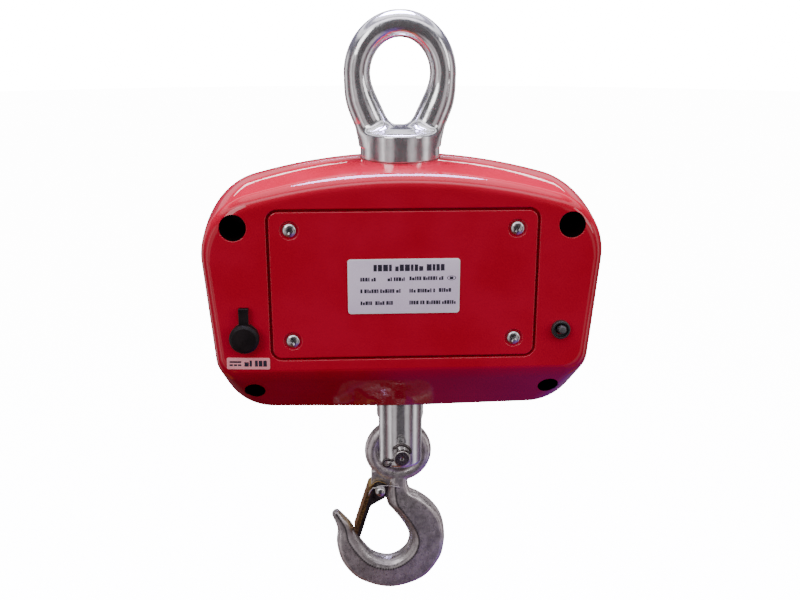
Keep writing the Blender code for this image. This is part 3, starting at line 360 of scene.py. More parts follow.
def rounded(corners, steps):
    """Closed outline of 2-D points, with an arc of so many steps at each corner (x, z, radius)."""
    points = []
    for i, (x, z, radius) in enumerate(corners):
        here = Vector((x, z))
        back = (Vector(corners[i - 1][:2]) - here).normalized()
        ahead = (Vector(corners[(i + 1) % len(corners)][:2]) - here).normalized()
        half = back.angle(ahead) / 2
        centre = here + (back + ahead).normalized() * radius / math.sin(half)
        first = here + back * radius / math.tan(half) - centre
        turn = first.angle_signed(here + ahead * radius / math.tan(half) - centre)
        count = steps[i] if isinstance(steps, list) else steps
        for k in range(count + 1):
            points.append(centre + Matrix.Rotation(-turn * k / count, 2) @ first)
    return points


def rectangle(width, height, corner, steps=10):
    x, z = width / 2, height / 2
    return rounded([(-x, z, corner), (x, z, corner), (x, -z, corner), (-x, -z, corner)], steps)


def housing_outline(depth, inset=0.0):
    """The housing's outline at this depth from the seam, drawn in by inset."""
    past_edge = max(0.0, depth - (DEPTH - EDGE_RADIUS))
    rounding = EDGE_RADIUS - math.sqrt(max(0.0, EDGE_RADIUS**2 - past_edge**2))
    side = BARREL * depth**2 + rounding + inset + FACET_SLACK
    ramped = depth - SLANT_START
    if abs(ramped) < SLANT_BLEND:
        ramped = (ramped + SLANT_BLEND) ** 2 / (4 * SLANT_BLEND)
    slant = max(0.0, ramped) / (DEPTH - SLANT_START)
    low = FLOOR + slant * (SLANT_END - FLOOR) + 0.4 * rounding + inset * (1 + 0.5 * (slant > 0))
    low_x = SHOULDER[0] - SIDE_TAPER * (SHOULDER[1] - low) - side
    low_corner = FLOOR_CORNER + slant * (SLANT_CORNER - FLOOR_CORNER) - inset
    drop = CROWN_DROP * (depth / DEPTH) ** 2
    right = [
        (SHOULDER[0] - side, SHOULDER[1] - side - drop, SHOULDER_RADIUS - side),
        (low_x, low, low_corner),
    ]
    corners = [(0, CROWN_APEX - side - drop, CROWN_RADIUS - side), *right]
    corners += [(0, low - FLOOR_CAMBER * (1 - 0.7 * slant), FLOOR_RADIUS)]
    corners += [(-x, z, radius) for x, z, radius in reversed(right)]
    return [(p.x, p.y + HOUSING_Z) for p in rounded(corners, [32, 20, 16, 16, 16, 20])]


def smooth(points, steps):
    """Catmull-Rom points through rows of numbers, with this many steps between rows."""
    rows = [Vector(p) for p in points]
    rows = [2 * rows[0] - rows[1], *rows, 2 * rows[-1] - rows[-2]]
    made = []
    for a, b, c, d in zip(rows, rows[1:], rows[2:], rows[3:]):
        for k in range(steps):
            t = k / steps
            made.append(
                0.5 * (2 * b + (c - a) * t + (2 * a - 5 * b + 4 * c - d) * t**2
                       + (3 * b - a - 3 * c + d) * t**3)
            )
    return made + [rows[-2]]


def arc(centre, radius, start, end, steps):
    """Points of an arc in degrees, as (radius, height) or (x, z) pairs."""
    angles = [math.radians(start + (end - start) * k / steps) for k in range(steps + 1)]
    return [(centre[0] + radius * math.cos(a), centre[1] + radius * math.sin(a)) for a in angles]


# Solids ------------------------------------------------------------------------------------------


def skin(rings, closed_path=False):
    """A closed skin over rings of equally many points. Open paths get flat ends."""
    bm = bmesh.new()
    rows = [[bm.verts.new(point) for point in ring] for ring in rings]
    for one, other in list(zip(rows, rows[1:])) + ([(rows[-1], rows[0])] if closed_path else []):
        for i in range(len(one)):
            j = (i + 1) % len(one)
            bm.faces.new((one[i], one[j], other[j], other[i]))
    if not closed_path:
        bm.faces.new(rows[0])
        bm.faces.new(rows[-1])
    bmesh.ops.recalc_face_normals(bm, faces=bm.faces)
    return bm


def prism(outline, y0, y1):
    return skin([[(x, y, z) for x, z in outline] for y in (y0, y1)])


def soft_plate(width, height, corner, centre, y_back, y_front, edge, steps=4):
    """A rounded plate in the XZ plane whose front edge is rounded over by edge."""
    side = math.copysign(1, y_front - y_back)
    layers = [(0, y_back)]
    for k in range(steps + 1):
        a = math.pi / 2 * k / steps
        layers.append((edge * (1 - math.cos(a)), y_front - side * edge * (1 - math.sin(a))))
    return skin([
        [(p.x + centre[0], y, p.y + centre[1])
         for p in rectangle(width - 2 * inset, height - 2 * inset, max(corner - inset, 0.05 * MM))]
        for inset, y in layers
    ])


def turned(profile, axis="Z", at=(0, 0, 0), steps=ROUND):
    """A solid of revolution. Its profile is a closed loop of (radius, height) points."""
    place = {
        "X": lambda r, h, a: (h, r * math.cos(a), r * math.sin(a)),
        "Y": lambda r, h, a: (r * math.cos(a), h, r * math.sin(a)),
        "Z": lambda r, h, a: (r * math.cos(a), r * math.sin(a), h),
    }[axis]
    bm = bmesh.new()
    rings = []
    for r, h in profile:
        angles = [2 * math.pi * k / steps for k in range(steps if r else 1)]
        rings.append([bm.verts.new(Vector(place(r, h, a)) + Vector(at)) for a in angles])
    for one, other in zip(rings, rings[1:] + rings[:1]):
        if len(one) == len(other) == 1:
            continue
        for i in range(steps):
            j = (i + 1) % steps
            corners = [one[i % len(one)], one[j % len(one)], other[j % len(other)], other[i % len(other)]]
            bm.faces.new(dict.fromkeys(corners))
    bmesh.ops.recalc_face_normals(bm, faces=bm.faces)
    return bm


def cylinder(radius, low, high, axis="Z", at=(0, 0, 0), steps=ROUND):
    return turned([(0, low), (radius, low), (radius, high), (0, high)], axis, at, steps)


def block(low, high, bevel=0.0, segments=3):
    bm = bmesh.new()
    bmesh.ops.create_cube(bm, size=1.0)
    size = Vector(high) - Vector(low)
    bmesh.ops.scale(bm, vec=size, verts=bm.verts)
    bmesh.ops.translate(bm, vec=Vector(low) + size / 2, verts=bm.verts)
    if bevel:
        bmesh.ops.bevel(bm, geom=bm.edges, offset=bevel, segments=segments, profile=0.5, affect="EDGES")
    return bm


def tube(path, radius, sides=12):
    """A round bar along a path, without twist, with domed ends."""
    points = [Vector(p) for p in path]
    rings = []
    normal = None
    for i, point in enumerate(points):
        along = (points[min(i + 1, len(points) - 1)] - points[max(i - 1, 0)]).normalized()
        normal = along.orthogonal() if normal is None else normal - along * normal.dot(along)
        normal.normalize()
        other = along.cross(normal)
        angles = [2 * math.pi * k / sides for k in range(sides)]
        ring = [normal * math.cos(a) + other * math.sin(a) for a in angles]
        if i == 0:
            rings.append([point - along * 0.6 * radius + radius * 0.5 * d for d in ring])
        rings.append([point + radius * d for d in ring])
        if i == len(points) - 1:
            rings.append([point + along * 0.6 * radius + radius * 0.5 * d for d in ring])
    return skin(rings)


def together(*solids):
    joined = bmesh.new()
    for bm in solids:
        mesh = bpy.data.meshes.new("joined")
        bm.to_mesh(mesh)
        bm.free()
        joined.from_mesh(mesh)
        bpy.data.meshes.remove(mesh)
    return joined


def moved(bm, turn=None, by=(0, 0, 0)):
    if turn is not None:
        bmesh.ops.rotate(bm, cent=(0, 0, 0), matrix=turn, verts=bm.verts)
    bmesh.ops.translate(bm, vec=Vector(by), verts=bm.verts)
    return bm


def as_object(bm, name="helper"):
    mesh = bpy.data.meshes.new(name)
    bm.to_mesh(mesh)
    bm.free()
    made = bpy.data.objects.new(name, mesh)
    bpy.context.scene.collection.objects.link(made)
    return made


def applied(bm, *modifiers):
    """The solid after modifiers, each a kind and its settings, with helper solids given as bmeshes."""
    target = as_object(bm)
    helpers = []
    for kind, settings in modifiers:
        modifier = target.modifiers.new(kind, kind)
        for key, value in settings.items():
            if isinstance(value, bmesh.types.BMesh):
                value = as_object(value)
                helpers.append(value)
            setattr(modifier, key, value)
    graph = bpy.context.evaluated_depsgraph_get()
    mesh = bpy.data.meshes.new_from_object(target.evaluated_get(graph))
    made = bmesh.new()
    made.from_mesh(mesh)
    for old in [target, *helpers]:
        old_mesh = old.data
        bpy.data.objects.remove(old)
        bpy.data.meshes.remove(old_mesh)
    bpy.data.meshes.remove(mesh)
    return made


def combined(bm, other, operation, solver="MANIFOLD"):
    return applied(bm, ("BOOLEAN", {"object": other, "operation": operation, "solver": solver}))


def cut(bm, *cutters, solver="MANIFOLD"):
    for cutter in cutters:
        bm = combined(bm, cutter, "DIFFERENCE", solver)
    return bm


def fuse(bm, *others, solver="MANIFOLD"):
    for other in others:
        bm = combined(bm, other, "UNION", solver)
    return bm


def flare(size, lip, face, inward, past, steps=6):
    """Offsets and heights of a cutter's rim that is rounded over into a flat face: (offset, y)."""
    points = []
    for k in range(steps + 1):
        t = math.radians(90 - (90 - 12) * k / steps)
        points.append((lip * (1 - math.sin(t)), face + inward * lip * (1 - math.cos(t))))
    run = 2.5 * lip
    last = points[-1]
    points.append((last[0] + run, last[1] - inward * run * math.tan(math.radians(12))))
    points.append((last[0] + run, past))
    return [(size + offset, y) for offset, y in points]


PIECES = {}


def piece(name, bm, look, body, slot, *replaced, sharp=35, weighted=False, bevel=0.0, other_looks=()):
    """A finished piece: shaded, with its material, riding on its body and standing for CAD nodes."""
    made = as_object(bm, name)
    mesh = made.data
    mesh.shade_smooth()
    mesh.set_sharp_from_angle(angle=math.radians(sharp))
    for each in (look, *other_looks):
        mesh.materials.append(LOOKS[each])
    if bevel:
        modifier = made.modifiers.new("edges", "BEVEL")
        modifier.width, modifier.segments, modifier.limit_method = bevel, 3, "ANGLE"
        modifier.angle_limit = math.radians(32)
        modifier.harden_normals = True
    if weighted:
        modifier = made.modifiers.new("normals", "WEIGHTED_NORMAL")
        modifier.keep_sharp, modifier.weight = True, 75
    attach(made, body)
    if replaced:
        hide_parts(*replaced)
    PIECES[name] = made
    return made


# Housing -----------------------------------------------------------------------------------------


def shell_rings(side, inset, depths):
    return [[(x, side * d, z) for x, z in housing_outline(d, inset + extra)] for d, extra in depths]


def half_housing(side):
    """One shell: an inner skin, a rounded rim at the seam, and the outer skin out to the face."""
    inner = shell_rings(side, WALL, [(d * MM, 0) for d in (0.7, 9, 16.1, 21.1, 30, 37, 43, 46.5)])
    rim = [(0.7, 0.62), (0.74, 0.40), (0.86, 0.20), (1.06, 0.07), (1.35, 0.0)]
    walls = (4, 8, 12, 16.1, 17.1, 18.1, 19.1, 20.1, 21.1, 25, 29, 33, 37, 40, 43)
    depths = [(d * MM, extra * MM) for d, extra in rim] + [(d * MM, 0) for d in walls]
    for k in range(1, 13):
        depths.append((DEPTH - EDGE_RADIUS + EDGE_RADIUS * math.sin(math.pi / 2 * k / 12), 0))
    shell = skin(inner[::-1] + shell_rings(side, 0.0, depths))
    envelope = skin(shell_rings(side, 1.2 * MM, [(d * MM, 0) for d in (0.7, 9, 16.1, 21.1, 30, 37, 43, 48.8)]))
    posts = []
    for x, z, bore in CASE_SCREWS:
        ends = sorted((side * SEAM, side * DEPTH))
        posts.append(cylinder(bore + 2.6 * MM, *ends, "Y", (x, 0, HOUSING_Z + z), SMALL_ROUND))
    posts = combined(together(*posts), envelope, "INTERSECT")
    top = HOUSING_Z + BOSS_TOP
    near, far = sorted((side * SEAM, side * 40 * MM))
    half = block((-45 * MM, near, HOUSING_Z + 90 * MM), (45 * MM, far, HOUSING_Z + 105 * MM))
    boss = combined(cylinder(BOSS_RADIUS, HOUSING_Z + 92 * MM, top + 0.1 * MM), half, "INTERSECT")
    seat = [(0, top), (SEAT_RADIUS, top), (SEAT_RADIUS, top + 20 * MM), (0, top + 20 * MM)]
    return cut(fuse(shell, posts, boss), turned(seat))


def framed_opening(shell, side, centre_z, recess, opening, corner, ledge, lip):
    """A recess with a rounded rim and a ledge, on a frame behind the shell's face."""
    face = side * DEPTH

    def outline(width, height, radius, grow=0.0):
        return [(p.x, p.y + centre_z) for p in rectangle(width + 2 * grow, height + 2 * grow, radius + grow)]

    frame_plate = prism(outline(*recess, corner, 3.5 * MM), side * (ledge - 4.2 * MM), side * (DEPTH - 1.2 * MM))
    layers = [(0.0, side * ledge)] + flare(0.0, lip, face, -side, side * (DEPTH + 6 * MM))
    cutter = skin([[(x, y, z) for x, z in outline(*recess, corner, grow)] for grow, y in layers])
    hole = prism(outline(*opening, corner / 2), side * (ledge - 9 * MM), side * (DEPTH + 5 * MM))
    return cut(fuse(shell, frame_plate), cutter, hole)


def flared_hole(x, z, bore, lip, side, depth):
    """A cutter for a round hole whose rim is rounded into the face."""
    profile = [(0, side * depth), (bore, side * depth)]
    profile += flare(bore, lip, side * DEPTH, -side, side * (DEPTH + 6 * MM))
    profile.append((0, side * (DEPTH + 6 * MM)))
    return turned(profile, "Y", (x, 0, z), SMALL_ROUND)


def round_rims(bm, places, width):
    """Rounds the sharp rims where holes along Y meet a slanted wall, near these (x, z, reach) places."""
    bmesh.ops.remove_doubles(bm, verts=bm.verts, dist=1e-6)
    bmesh.ops.dissolve_degenerate(bm, dist=1e-6, edges=bm.edges)
    rims = []
    for edge in bm.edges:
        if len(edge.link_faces) != 2 or edge.calc_face_angle(0) < math.radians(30):
            continue
        middle = (edge.verts[0].co + edge.verts[1].co) / 2
        for x, z, bore in places:
            radii = [math.hypot(v.co.x - x, v.co.z - HOUSING_Z - z) for v in edge.verts]
            if max(abs(r - bore) for r in radii) < 0.15 * MM and middle.y < -24 * MM:
                rims.append(edge)
    bmesh.ops.bevel(bm, geom=rims, offset=width, segments=4, profile=0.5, affect="EDGES", clamp_overlap=True)
    return bm


def flat_merged(bm):
    """Coplanar faces are merged, so that a flat wall outweighs the rounding next to it in the shading."""
    flat = math.radians(0.25)
    bmesh.ops.dissolve_limit(bm, angle_limit=flat, verts=bm.verts, edges=bm.edges, delimit={"MATERIAL"})
    return bm


def rear_shell():
    shell = half_housing(-1)
    recess = (COVER_SIZE[0] + 2 * COVER_GROOVE, COVER_SIZE[1] + 2 * COVER_GROOVE)
    shell = framed_opening(shell, -1, COVER_Z, recess, (126 * MM, 84 * MM), COVER_CORNER + COVER_GROOVE,
                           -LEDGE_Y, 0.7 * MM)
    cutters = []
    for x, z, bore in CASE_SCREWS[:2]:
        cutters.append(flared_hole(x, HOUSING_Z + z, bore, 0.55 * MM, -1, 12 * MM))
    for x, z, bore in CASE_SCREWS[2:]:
        cutters.append(cylinder(bore, -60 * MM, -12 * MM, "Y", (x, 0, HOUSING_Z + z), SMALL_ROUND))
    for x, z, _ in CASE_SCREWS:
        cutters.append(cylinder(2.8 * MM, -13 * MM, 5 * MM, "Y", (x, 0, HOUSING_Z + z), SMALL_ROUND))
    for x, z in cover_screw_places():
        cutters.append(cylinder(2.6 * MM, -49 * MM, -38 * MM, "Y", (x, 0, z), SMALL_ROUND))
    cutters.append(flared_hole(SOCKET_AT.x, SOCKET_AT.z, 8.3 * MM, 0.4 * MM, -1, 40 * MM))
    cutters.append(flared_hole(SWITCH_AT.x, SWITCH_AT.z, 3.4 * MM, 0.4 * MM, -1, 40 * MM))
    cutters.append(cylinder(NECK_HOLE, HOUSING_Z + 80 * MM, HOUSING_Z + 110 * MM))
    cutters.append(cylinder(FLOOR_HOLE, HOUSING_Z - 90 * MM, HOUSING_Z - 50 * MM))
    shell = round_rims(cut(shell, *cutters), CASE_SCREWS[2:], 0.8 * MM)
    # painted shade: the faces inside the screw bores take the near-black second material
    for face in shell.faces:
        middle = face.calc_center_median()
        for x, z, bore in CASE_SCREWS:
            in_bore = math.hypot(middle.x - x, middle.z - HOUSING_Z - z) < 1.001 * bore
            if in_bore and middle.y > FACE_Y + 1 * MM:
                face.material_index = 1
    piece("rear_shell_fine", flat_merged(shell), "paint", "housing", "paint", "rear_shell", sharp=40,
          weighted=True, other_looks=("painted_shade_well",))


def front_shell():
    shell = half_housing(1)
    shell = framed_opening(shell, 1, WINDOW_Z, (158.6 * MM, 62.6 * MM), (146 * MM, 50 * MM), 4 * MM,
                           47.2 * MM, 0.6 * MM)
    cutters = []
    for x, z, _ in CASE_SCREWS:
        cutters.append(cylinder(2.8 * MM, -5 * MM, 26 * MM, "Y", (x, 0, HOUSING_Z + z), SMALL_ROUND))
    for x in (-45 * MM, 0, 45 * MM):
        cutters.append(flared_hole(x, BUTTON_Z, 8.8 * MM, 0.6 * MM, 1, 40 * MM))
    cutters.append(cylinder(NECK_HOLE, HOUSING_Z + 80 * MM, HOUSING_Z + 110 * MM))
    cutters.append(cylinder(FLOOR_HOLE, HOUSING_Z - 90 * MM, HOUSING_Z - 50 * MM))
    piece("front_shell_fine", flat_merged(cut(shell, *cutters)), "paint", "housing", "paint", "front_shell", sharp=40,
          weighted=True)


# Battery side ------------------------------------------------------------------------------------


def cover_screw_places():
    x, z = COVER_SCREWS[0] / 2, COVER_SCREWS[1] / 2
    return [(-x, COVER_Z + z), (x, COVER_Z + z), (-x, COVER_Z - z), (x, COVER_Z - z)]


def battery_cover():
    cover = soft_plate(*COVER_SIZE, COVER_CORNER, (0, COVER_Z), FACE_Y + 2.8 * MM, FACE_Y, 0.7 * MM, 6)
    out = FACE_Y - 6 * MM
    for x, z in cover_screw_places():
        profile = [(0, FACE_Y + 5 * MM), (2.6 * MM, FACE_Y + 5 * MM), (2.6 * MM, FACE_Y + 1.4 * MM),
                   (4.85 * MM, FACE_Y + 1.4 * MM), (5.1 * MM, FACE_Y + 1.3 * MM)]
        profile += [(5.5 * MM, FACE_Y + 0.9 * MM)] + flare(5.75 * MM, 0.7 * MM, FACE_Y, 1, out) + [(0, out)]
        cover = cut(cover, turned(profile, "Y", (x, 0, z), SMALL_ROUND))
    piece("battery_cover_fine", cover, "paint", "housing", "paint", "battery_cover", sharp=40, weighted=True)


def cross_recess(x, z, top, turn):
    """Two tapering slots at right angles, four arms meeting over a point, as a screwdriver's cross needs."""
    wings = []
    for k in range(2):
        wide, narrow = 2.55 * MM, 1.1 * MM
        profile = [(-wide, top - 1 * MM), (wide, top - 1 * MM), (wide, top + 0.35 * MM),
                   (narrow, top + 1.5 * MM), (-narrow, top + 1.5 * MM), (-wide, top + 0.35 * MM)]
        rings = [[(u, y, side * 0.52 * MM) for u, y in profile] for side in (-1, 1)]
        wings.append(moved(skin(rings), Matrix.Rotation(turn + k * math.pi / 2, 3, "Y"), (x, 0, z)))
    return wings


def cover_screws():
    """Nickelled pan heads, each turned home at its own angle."""
    seat = FACE_Y + 1.1 * MM
    for i, (x, z) in enumerate(cover_screw_places()):
        profile = [(0, seat - 2.3 * MM)]
        for k in range(1, 9):
            a = math.radians(8 + 82 * k / 8)
            profile.append((4.5 * MM * math.sin(a), seat - 0.35 * MM - 1.95 * MM * math.cos(a) ** 0.8))
        profile += [(4.5 * MM, seat), (2.3 * MM, seat), (2.3 * MM, seat + 9.5 * MM), (0, seat + 10.3 * MM)]
        screw = turned(profile, "Y", (x, 0, z), SMALL_ROUND)
        for wing in cross_recess(x, z, seat - 1.9 * MM, math.radians((8, 31, -17, 24)[i])):
            screw = cut(screw, wing)
        piece(f"cover_screw_{i + 1}_fine", screw, "steel", "housing", "steel", f"cover_screw_{i + 1}",
              sharp=32)


def greeked(x, z, width, height, seed, y, thick, letter=0.62, turn=0.0, pivot=None):
    """A line of generic marks: small upright bars of varied widths that stand for printing."""
    bars = []
    cursor, k = x, 0
    while cursor < x + width - 0.3 * letter * height:
        wide = height * letter * (0.55 + 0.45 * ((seed * 7 + k * 5) % 4) / 3)
        wide = min(wide, x + width - cursor)
        tall = height * (1.0 if (seed + k * 3) % 5 else 0.72)
        bars.append(block((cursor, y - thick, z), (cursor + wide, y, z + tall)))
        gap = 0.2 if (k + seed) % 6 else 0.7
        cursor += wide + height * letter * gap
        k += 1
    marks = together(*bars)
    if turn:
        bmesh.ops.rotate(marks, cent=pivot, matrix=Matrix.Rotation(turn, 3, "Y"), verts=marks.verts)
    return marks


def ring_mark(x, z, outer, inner, y, thick, squash=1.0):
    rings = [[(x + r * math.cos(a), yy, z + squash * r * math.sin(a))
              for a in (2 * math.pi * k / 32 for k in range(32))]
             for r, yy in ((outer, y), (outer, y - thick), (inner, y - thick), (inner, y))]
    return skin(rings, closed_path=True)


def nameplate():
    back, front = FACE_Y - 0.3 * MM, FACE_Y - 0.8 * MM
    centre = (0, COVER_Z - 0.4 * MM)
    piece("nameplate_edge", soft_plate(72 * MM, 36.4 * MM, 2 * MM, centre, back, front + 0.08 * MM, 0.2 * MM),
          "label_edge", "housing", "label")
    piece("nameplate_fine", soft_plate(70.4 * MM, 34.8 * MM, 1.4 * MM, centre, back - 0.3 * MM, front, 0.06 * MM),
          "label", "housing", "label", "nameplate")
    left, top, ink = -36 * MM, centre[1] + 18.2 * MM, 0.04 * MM
    marks = [greeked(left + 16.5 * MM, top - 8.0 * MM, 45.5 * MM, 4.4 * MM, 3, front, ink, 0.72)]
    rows = ((left + 8 * MM, 14.6, 10, 3), (left + 25.5 * MM, 14.6, 11, 5), (left + 39.5 * MM, 14.2, 22, 2),
            (left + 8 * MM, 22.4, 26, 6), (left + 39.5 * MM, 22.4, 17, 4), (left + 58.5 * MM, 22.2, 8.5, 1),
            (left + 8 * MM, 30.4, 8, 7), (left + 17.5 * MM, 30.4, 12, 9), (left + 39.5 * MM, 30.4, 6, 8),
            (left + 46.5 * MM, 30.4, 23, 11))
    for x, drop, width, seed in rows:
        marks.append(greeked(x, top - drop * MM, width * MM, 2.6 * MM, seed, front, ink))
    marks.append(ring_mark(left + 66.6 * MM, top - 12.9 * MM, 2.9 * MM, 2.4 * MM, front, ink, 0.55))
    marks.append(block((left + 65.4 * MM, front - ink, top - 13.8 * MM), (left + 67.8 * MM, front, top - 12.0 * MM)))
    piece("nameplate_marks", together(*marks), "ink", "housing", "label")


def charging_sticker():
    turn = math.radians(1.5)
    pivot = Vector((STICKER_AT.x, 0, STICKER_AT.z))
    back, front = FACE_Y - 0.3 * MM, FACE_Y - 0.55 * MM
    plate = soft_plate(28 * MM, 8 * MM, 1 * MM, (0, 0), back, front, 0.08 * MM)
    plate = moved(plate, Matrix.Rotation(turn, 3, "Y"), pivot)
    piece("charging_sticker_fine", plate, "sticker", "housing", "sticker", "charging_sticker")
    x, z, ink = STICKER_AT.x, STICKER_AT.z, 0.04 * MM
    marks = [block((x - 12.2 * MM, front - ink, z + 0.5 * MM), (x - 4.6 * MM, front, z + 1.7 * MM))]
    for k in range(3):
        low = x - 12.2 * MM + k * 2.7 * MM
        marks.append(block((low, front - ink, z - 1.7 * MM), (low + 2.1 * MM, front, z - 0.5 * MM)))
    marks = together(*marks, greeked(x - 2.6 * MM, z - 2.0 * MM, 14.6 * MM, 4.2 * MM, 5, front, ink, 0.66))
    bmesh.ops.rotate(marks, cent=pivot, matrix=Matrix.Rotation(turn, 3, "Y"), verts=marks.verts)
    piece("charging_sticker_marks", marks, "ink", "housing", "sticker")


def charging_cap():
    """A domed rubber cap with a bevelled rim, its strap and the strap's stub on the face."""
    x, z = SOCKET_AT.x, SOCKET_AT.z
    profile = [(0, -52.7 * MM), (9.1 * MM, -52.7 * MM)] + arc((9.1 * MM, -53.2 * MM), 0.5 * MM, 90, 0, 4)
    profile += [(9.6 * MM, -55.7 * MM)] + arc((9.0 * MM, -55.9 * MM), 0.6 * MM, 0, -50, 4)
    profile += arc((7.4 * MM, -56.9 * MM), 0.9 * MM, -45, -80, 4)
    profile += [(5.0 * MM, -58.02 * MM), (2.5 * MM, -58.15 * MM), (0, -58.2 * MM)]
    cap = turned(profile, "Y", (x, 0, z))
    grooves = turned([(8.2 * MM, -54.0 * MM), (9.9 * MM, -54.0 * MM), (9.9 * MM, -54.7 * MM),
                      (9.2 * MM, -54.7 * MM)][::-1], "Y", (x, 0, z))
    strap = block((x - 3.2 * MM, -54.4 * MM, z + 6 * MM), (x + 3.2 * MM, -52.7 * MM, z + 20 * MM), 0.6 * MM, 4)
    foot = block((x - 3.2 * MM, -54.4 * MM, z + 16.6 * MM), (x + 3.2 * MM, -50.3 * MM, z + 19.9 * MM), 0.6 * MM, 4)
    cap = fuse(cut(cap, grooves), strap, foot)
    piece("charging_cap_fine", cap, "rubber", "charging_cap_body", "rubber", "charging_cap", sharp=40,
          weighted=True)


def power_switch():
    x, z = SWITCH_AT.x, SWITCH_AT.z
    ring = [(3.5 * MM, -50.3 * MM), (6.15 * MM, -50.3 * MM), (6.15 * MM, -52.4 * MM)]
    ring += arc((5.4 * MM, -52.8 * MM), 0.75 * MM, 0, -90, 6) + arc((5.0 * MM, -53.3 * MM), 0.25 * MM, -90, -180, 3)
    ring += [(4.6 * MM, -51.2 * MM), (3.5 * MM, -51.0 * MM)]
    piece("power_switch_ring_fine", turned(ring, "Y", (x, 0, z)), "plastic", "housing", "rubber",
          "power_switch_ring", sharp=50)
    nose = [(0, 0), (2.2 * MM, 0), (2.7 * MM, -0.6 * MM), (2.7 * MM, -5.0 * MM)]
    nose += arc((1.4 * MM, -6.9 * MM), 1.3 * MM, 12, -88, 8) + [(0, -8.2 * MM)]
    lever = turned(nose, "Y", (0, 0, 0), SMALL_ROUND)
    lever = moved(lever, Matrix.Rotation(-math.radians(12), 3, "X"), (x, -49.8 * MM, z))
    piece("power_switch_lever_fine", lever, "lever", "switch_lever_body", "key", "power_switch_lever", sharp=50)


def case_screws():
    for i, (x, z, _) in enumerate(CASE_SCREWS):
        head = -12.3 * MM
        profile = [(0, head - 3.5 * MM), (4.0 * MM, head - 3.5 * MM)]
        profile += arc((4.1 * MM, head - 3.1 * MM), 0.4 * MM, -90, 0, 4)[1:]
        profile += [(4.5 * MM, head), (2.5 * MM, head), (2.5 * MM, 22 * MM), (0, 24 * MM)]
        screw = turned(profile, "Y", (x, 0, HOUSING_Z + z), SMALL_ROUND)
        key = turned([(0, head - 5 * MM), (2.3 * MM, head - 5 * MM), (2.3 * MM, head - 1.5 * MM),
                      (0, head - 1.5 * MM)], "Y", (x, 0, HOUSING_Z + z), 6)
        piece(f"case_screw_{i + 1}_fine", cut(screw, key), "wire", "housing", "steel", f"case_screw_{i + 1}")


# Display side ------------------------------------------------------------------------------------


def display_side():
    plate = soft_plate(158 * MM, 62 * MM, 4 * MM, (0, WINDOW_Z), 47.5 * MM, 50 * MM, 0.3 * MM)
    piece("display_window_fine", plate, "window", "housing", "window", "display_window", sharp=40)
    lit, unlit = [], []
    shown = (None, None, None, "abcdef", "abcdef")
    for i, on in enumerate(shown):
        x = -(i - 2) * 28 * MM
        for name, bar in segments(x, WINDOW_Z):
            (lit if on and name in on else unlit).append(bar)
    dot = turned([(0, 42.05 * MM), (1.6 * MM, 42.05 * MM), (1.6 * MM, 42.3 * MM), (0, 42.3 * MM)], "Y",
                 (-28 * MM - 11.6 * MM, 0, WINDOW_Z - 15 * MM), 24)
    piece("digit_segments_lit", together(*lit, dot), "lit", "housing", "digit")
    piece("digit_segments_unlit", together(*unlit), "unlit", "housing", "digit")


def segments(x, z):
    """The seven bars of one digit, seen from the display side, where +X is to the left."""
    half_wide, half_tall, thick = 7.6 * MM, 14.4 * MM, 1.7 * MM
    places = {
        "a": (0, half_tall, True), "b": (1, half_tall / 2, False), "c": (1, -half_tall / 2, False),
        "d": (0, -half_tall, True), "e": (-1, -half_tall / 2, False), "f": (-1, half_tall / 2, False),
        "g": (0, 0, True),
    }
    lean = math.tan(math.radians(7))
    for name, (side, height, flat) in places.items():
        reach = (half_wide if flat else half_tall / 2) - 0.5 * MM
        bar = [(-reach, 0), (-reach + thick, thick), (reach - thick, thick), (reach, 0), (reach - thick, -thick),
               (-reach + thick, -thick)]
        points = []
        for along, across in bar:
            u, v = (along, across) if flat else (across, along)
            px, pz = u + side * half_wide, v + height
            points.append((x - (px + lean * pz), z + pz))
        yield name, prism(points, 42.05 * MM, 42.3 * MM)


def buttons():
    for i, x in enumerate((-45 * MM, 0.0, 45 * MM)):
        profile = [(0, 42.3 * MM), (10.5 * MM, 42.3 * MM), (10.5 * MM, 44.6 * MM), (8.5 * MM, 44.6 * MM),
                   (8.5 * MM, 50.8 * MM)]
        profile += arc((7.3 * MM, 50.7 * MM), 1.2 * MM, 5, 90, 8) + [(4 * MM, 51.75 * MM), (0, 51.7 * MM)]
        piece(f"button_{i + 1}_fine", turned(profile, "Y", (x, 0, BUTTON_Z)), "key", f"button_{i + 1}_body",
              "key", f"button_{i + 1}", sharp=40)
        top = 51.72 * MM
        if i == 0:
            mark = together(ring_mark(x, BUTTON_Z, 3.0 * MM, 2.3 * MM, top, -0.13 * MM))
        elif i == 1:
            mark = prism([(x, BUTTON_Z + 2.8 * MM), (x + 2.8 * MM, BUTTON_Z - 2 * MM),
                          (x - 2.8 * MM, BUTTON_Z - 2 * MM)], top, top + 0.13 * MM)
        else:
            mark = together(ring_mark(x, BUTTON_Z, 3.0 * MM, 2.3 * MM, top, -0.13 * MM),
                            block((x - 0.35 * MM, top, BUTTON_Z + 1 * MM),
                                  (x + 0.35 * MM, top + 0.13 * MM, BUTTON_Z + 4 * MM)))
        piece(f"button_{i + 1}_mark", mark, "mark", f"button_{i + 1}_body", "key")


# Lifting eye -------------------------------------------------------------------------------------


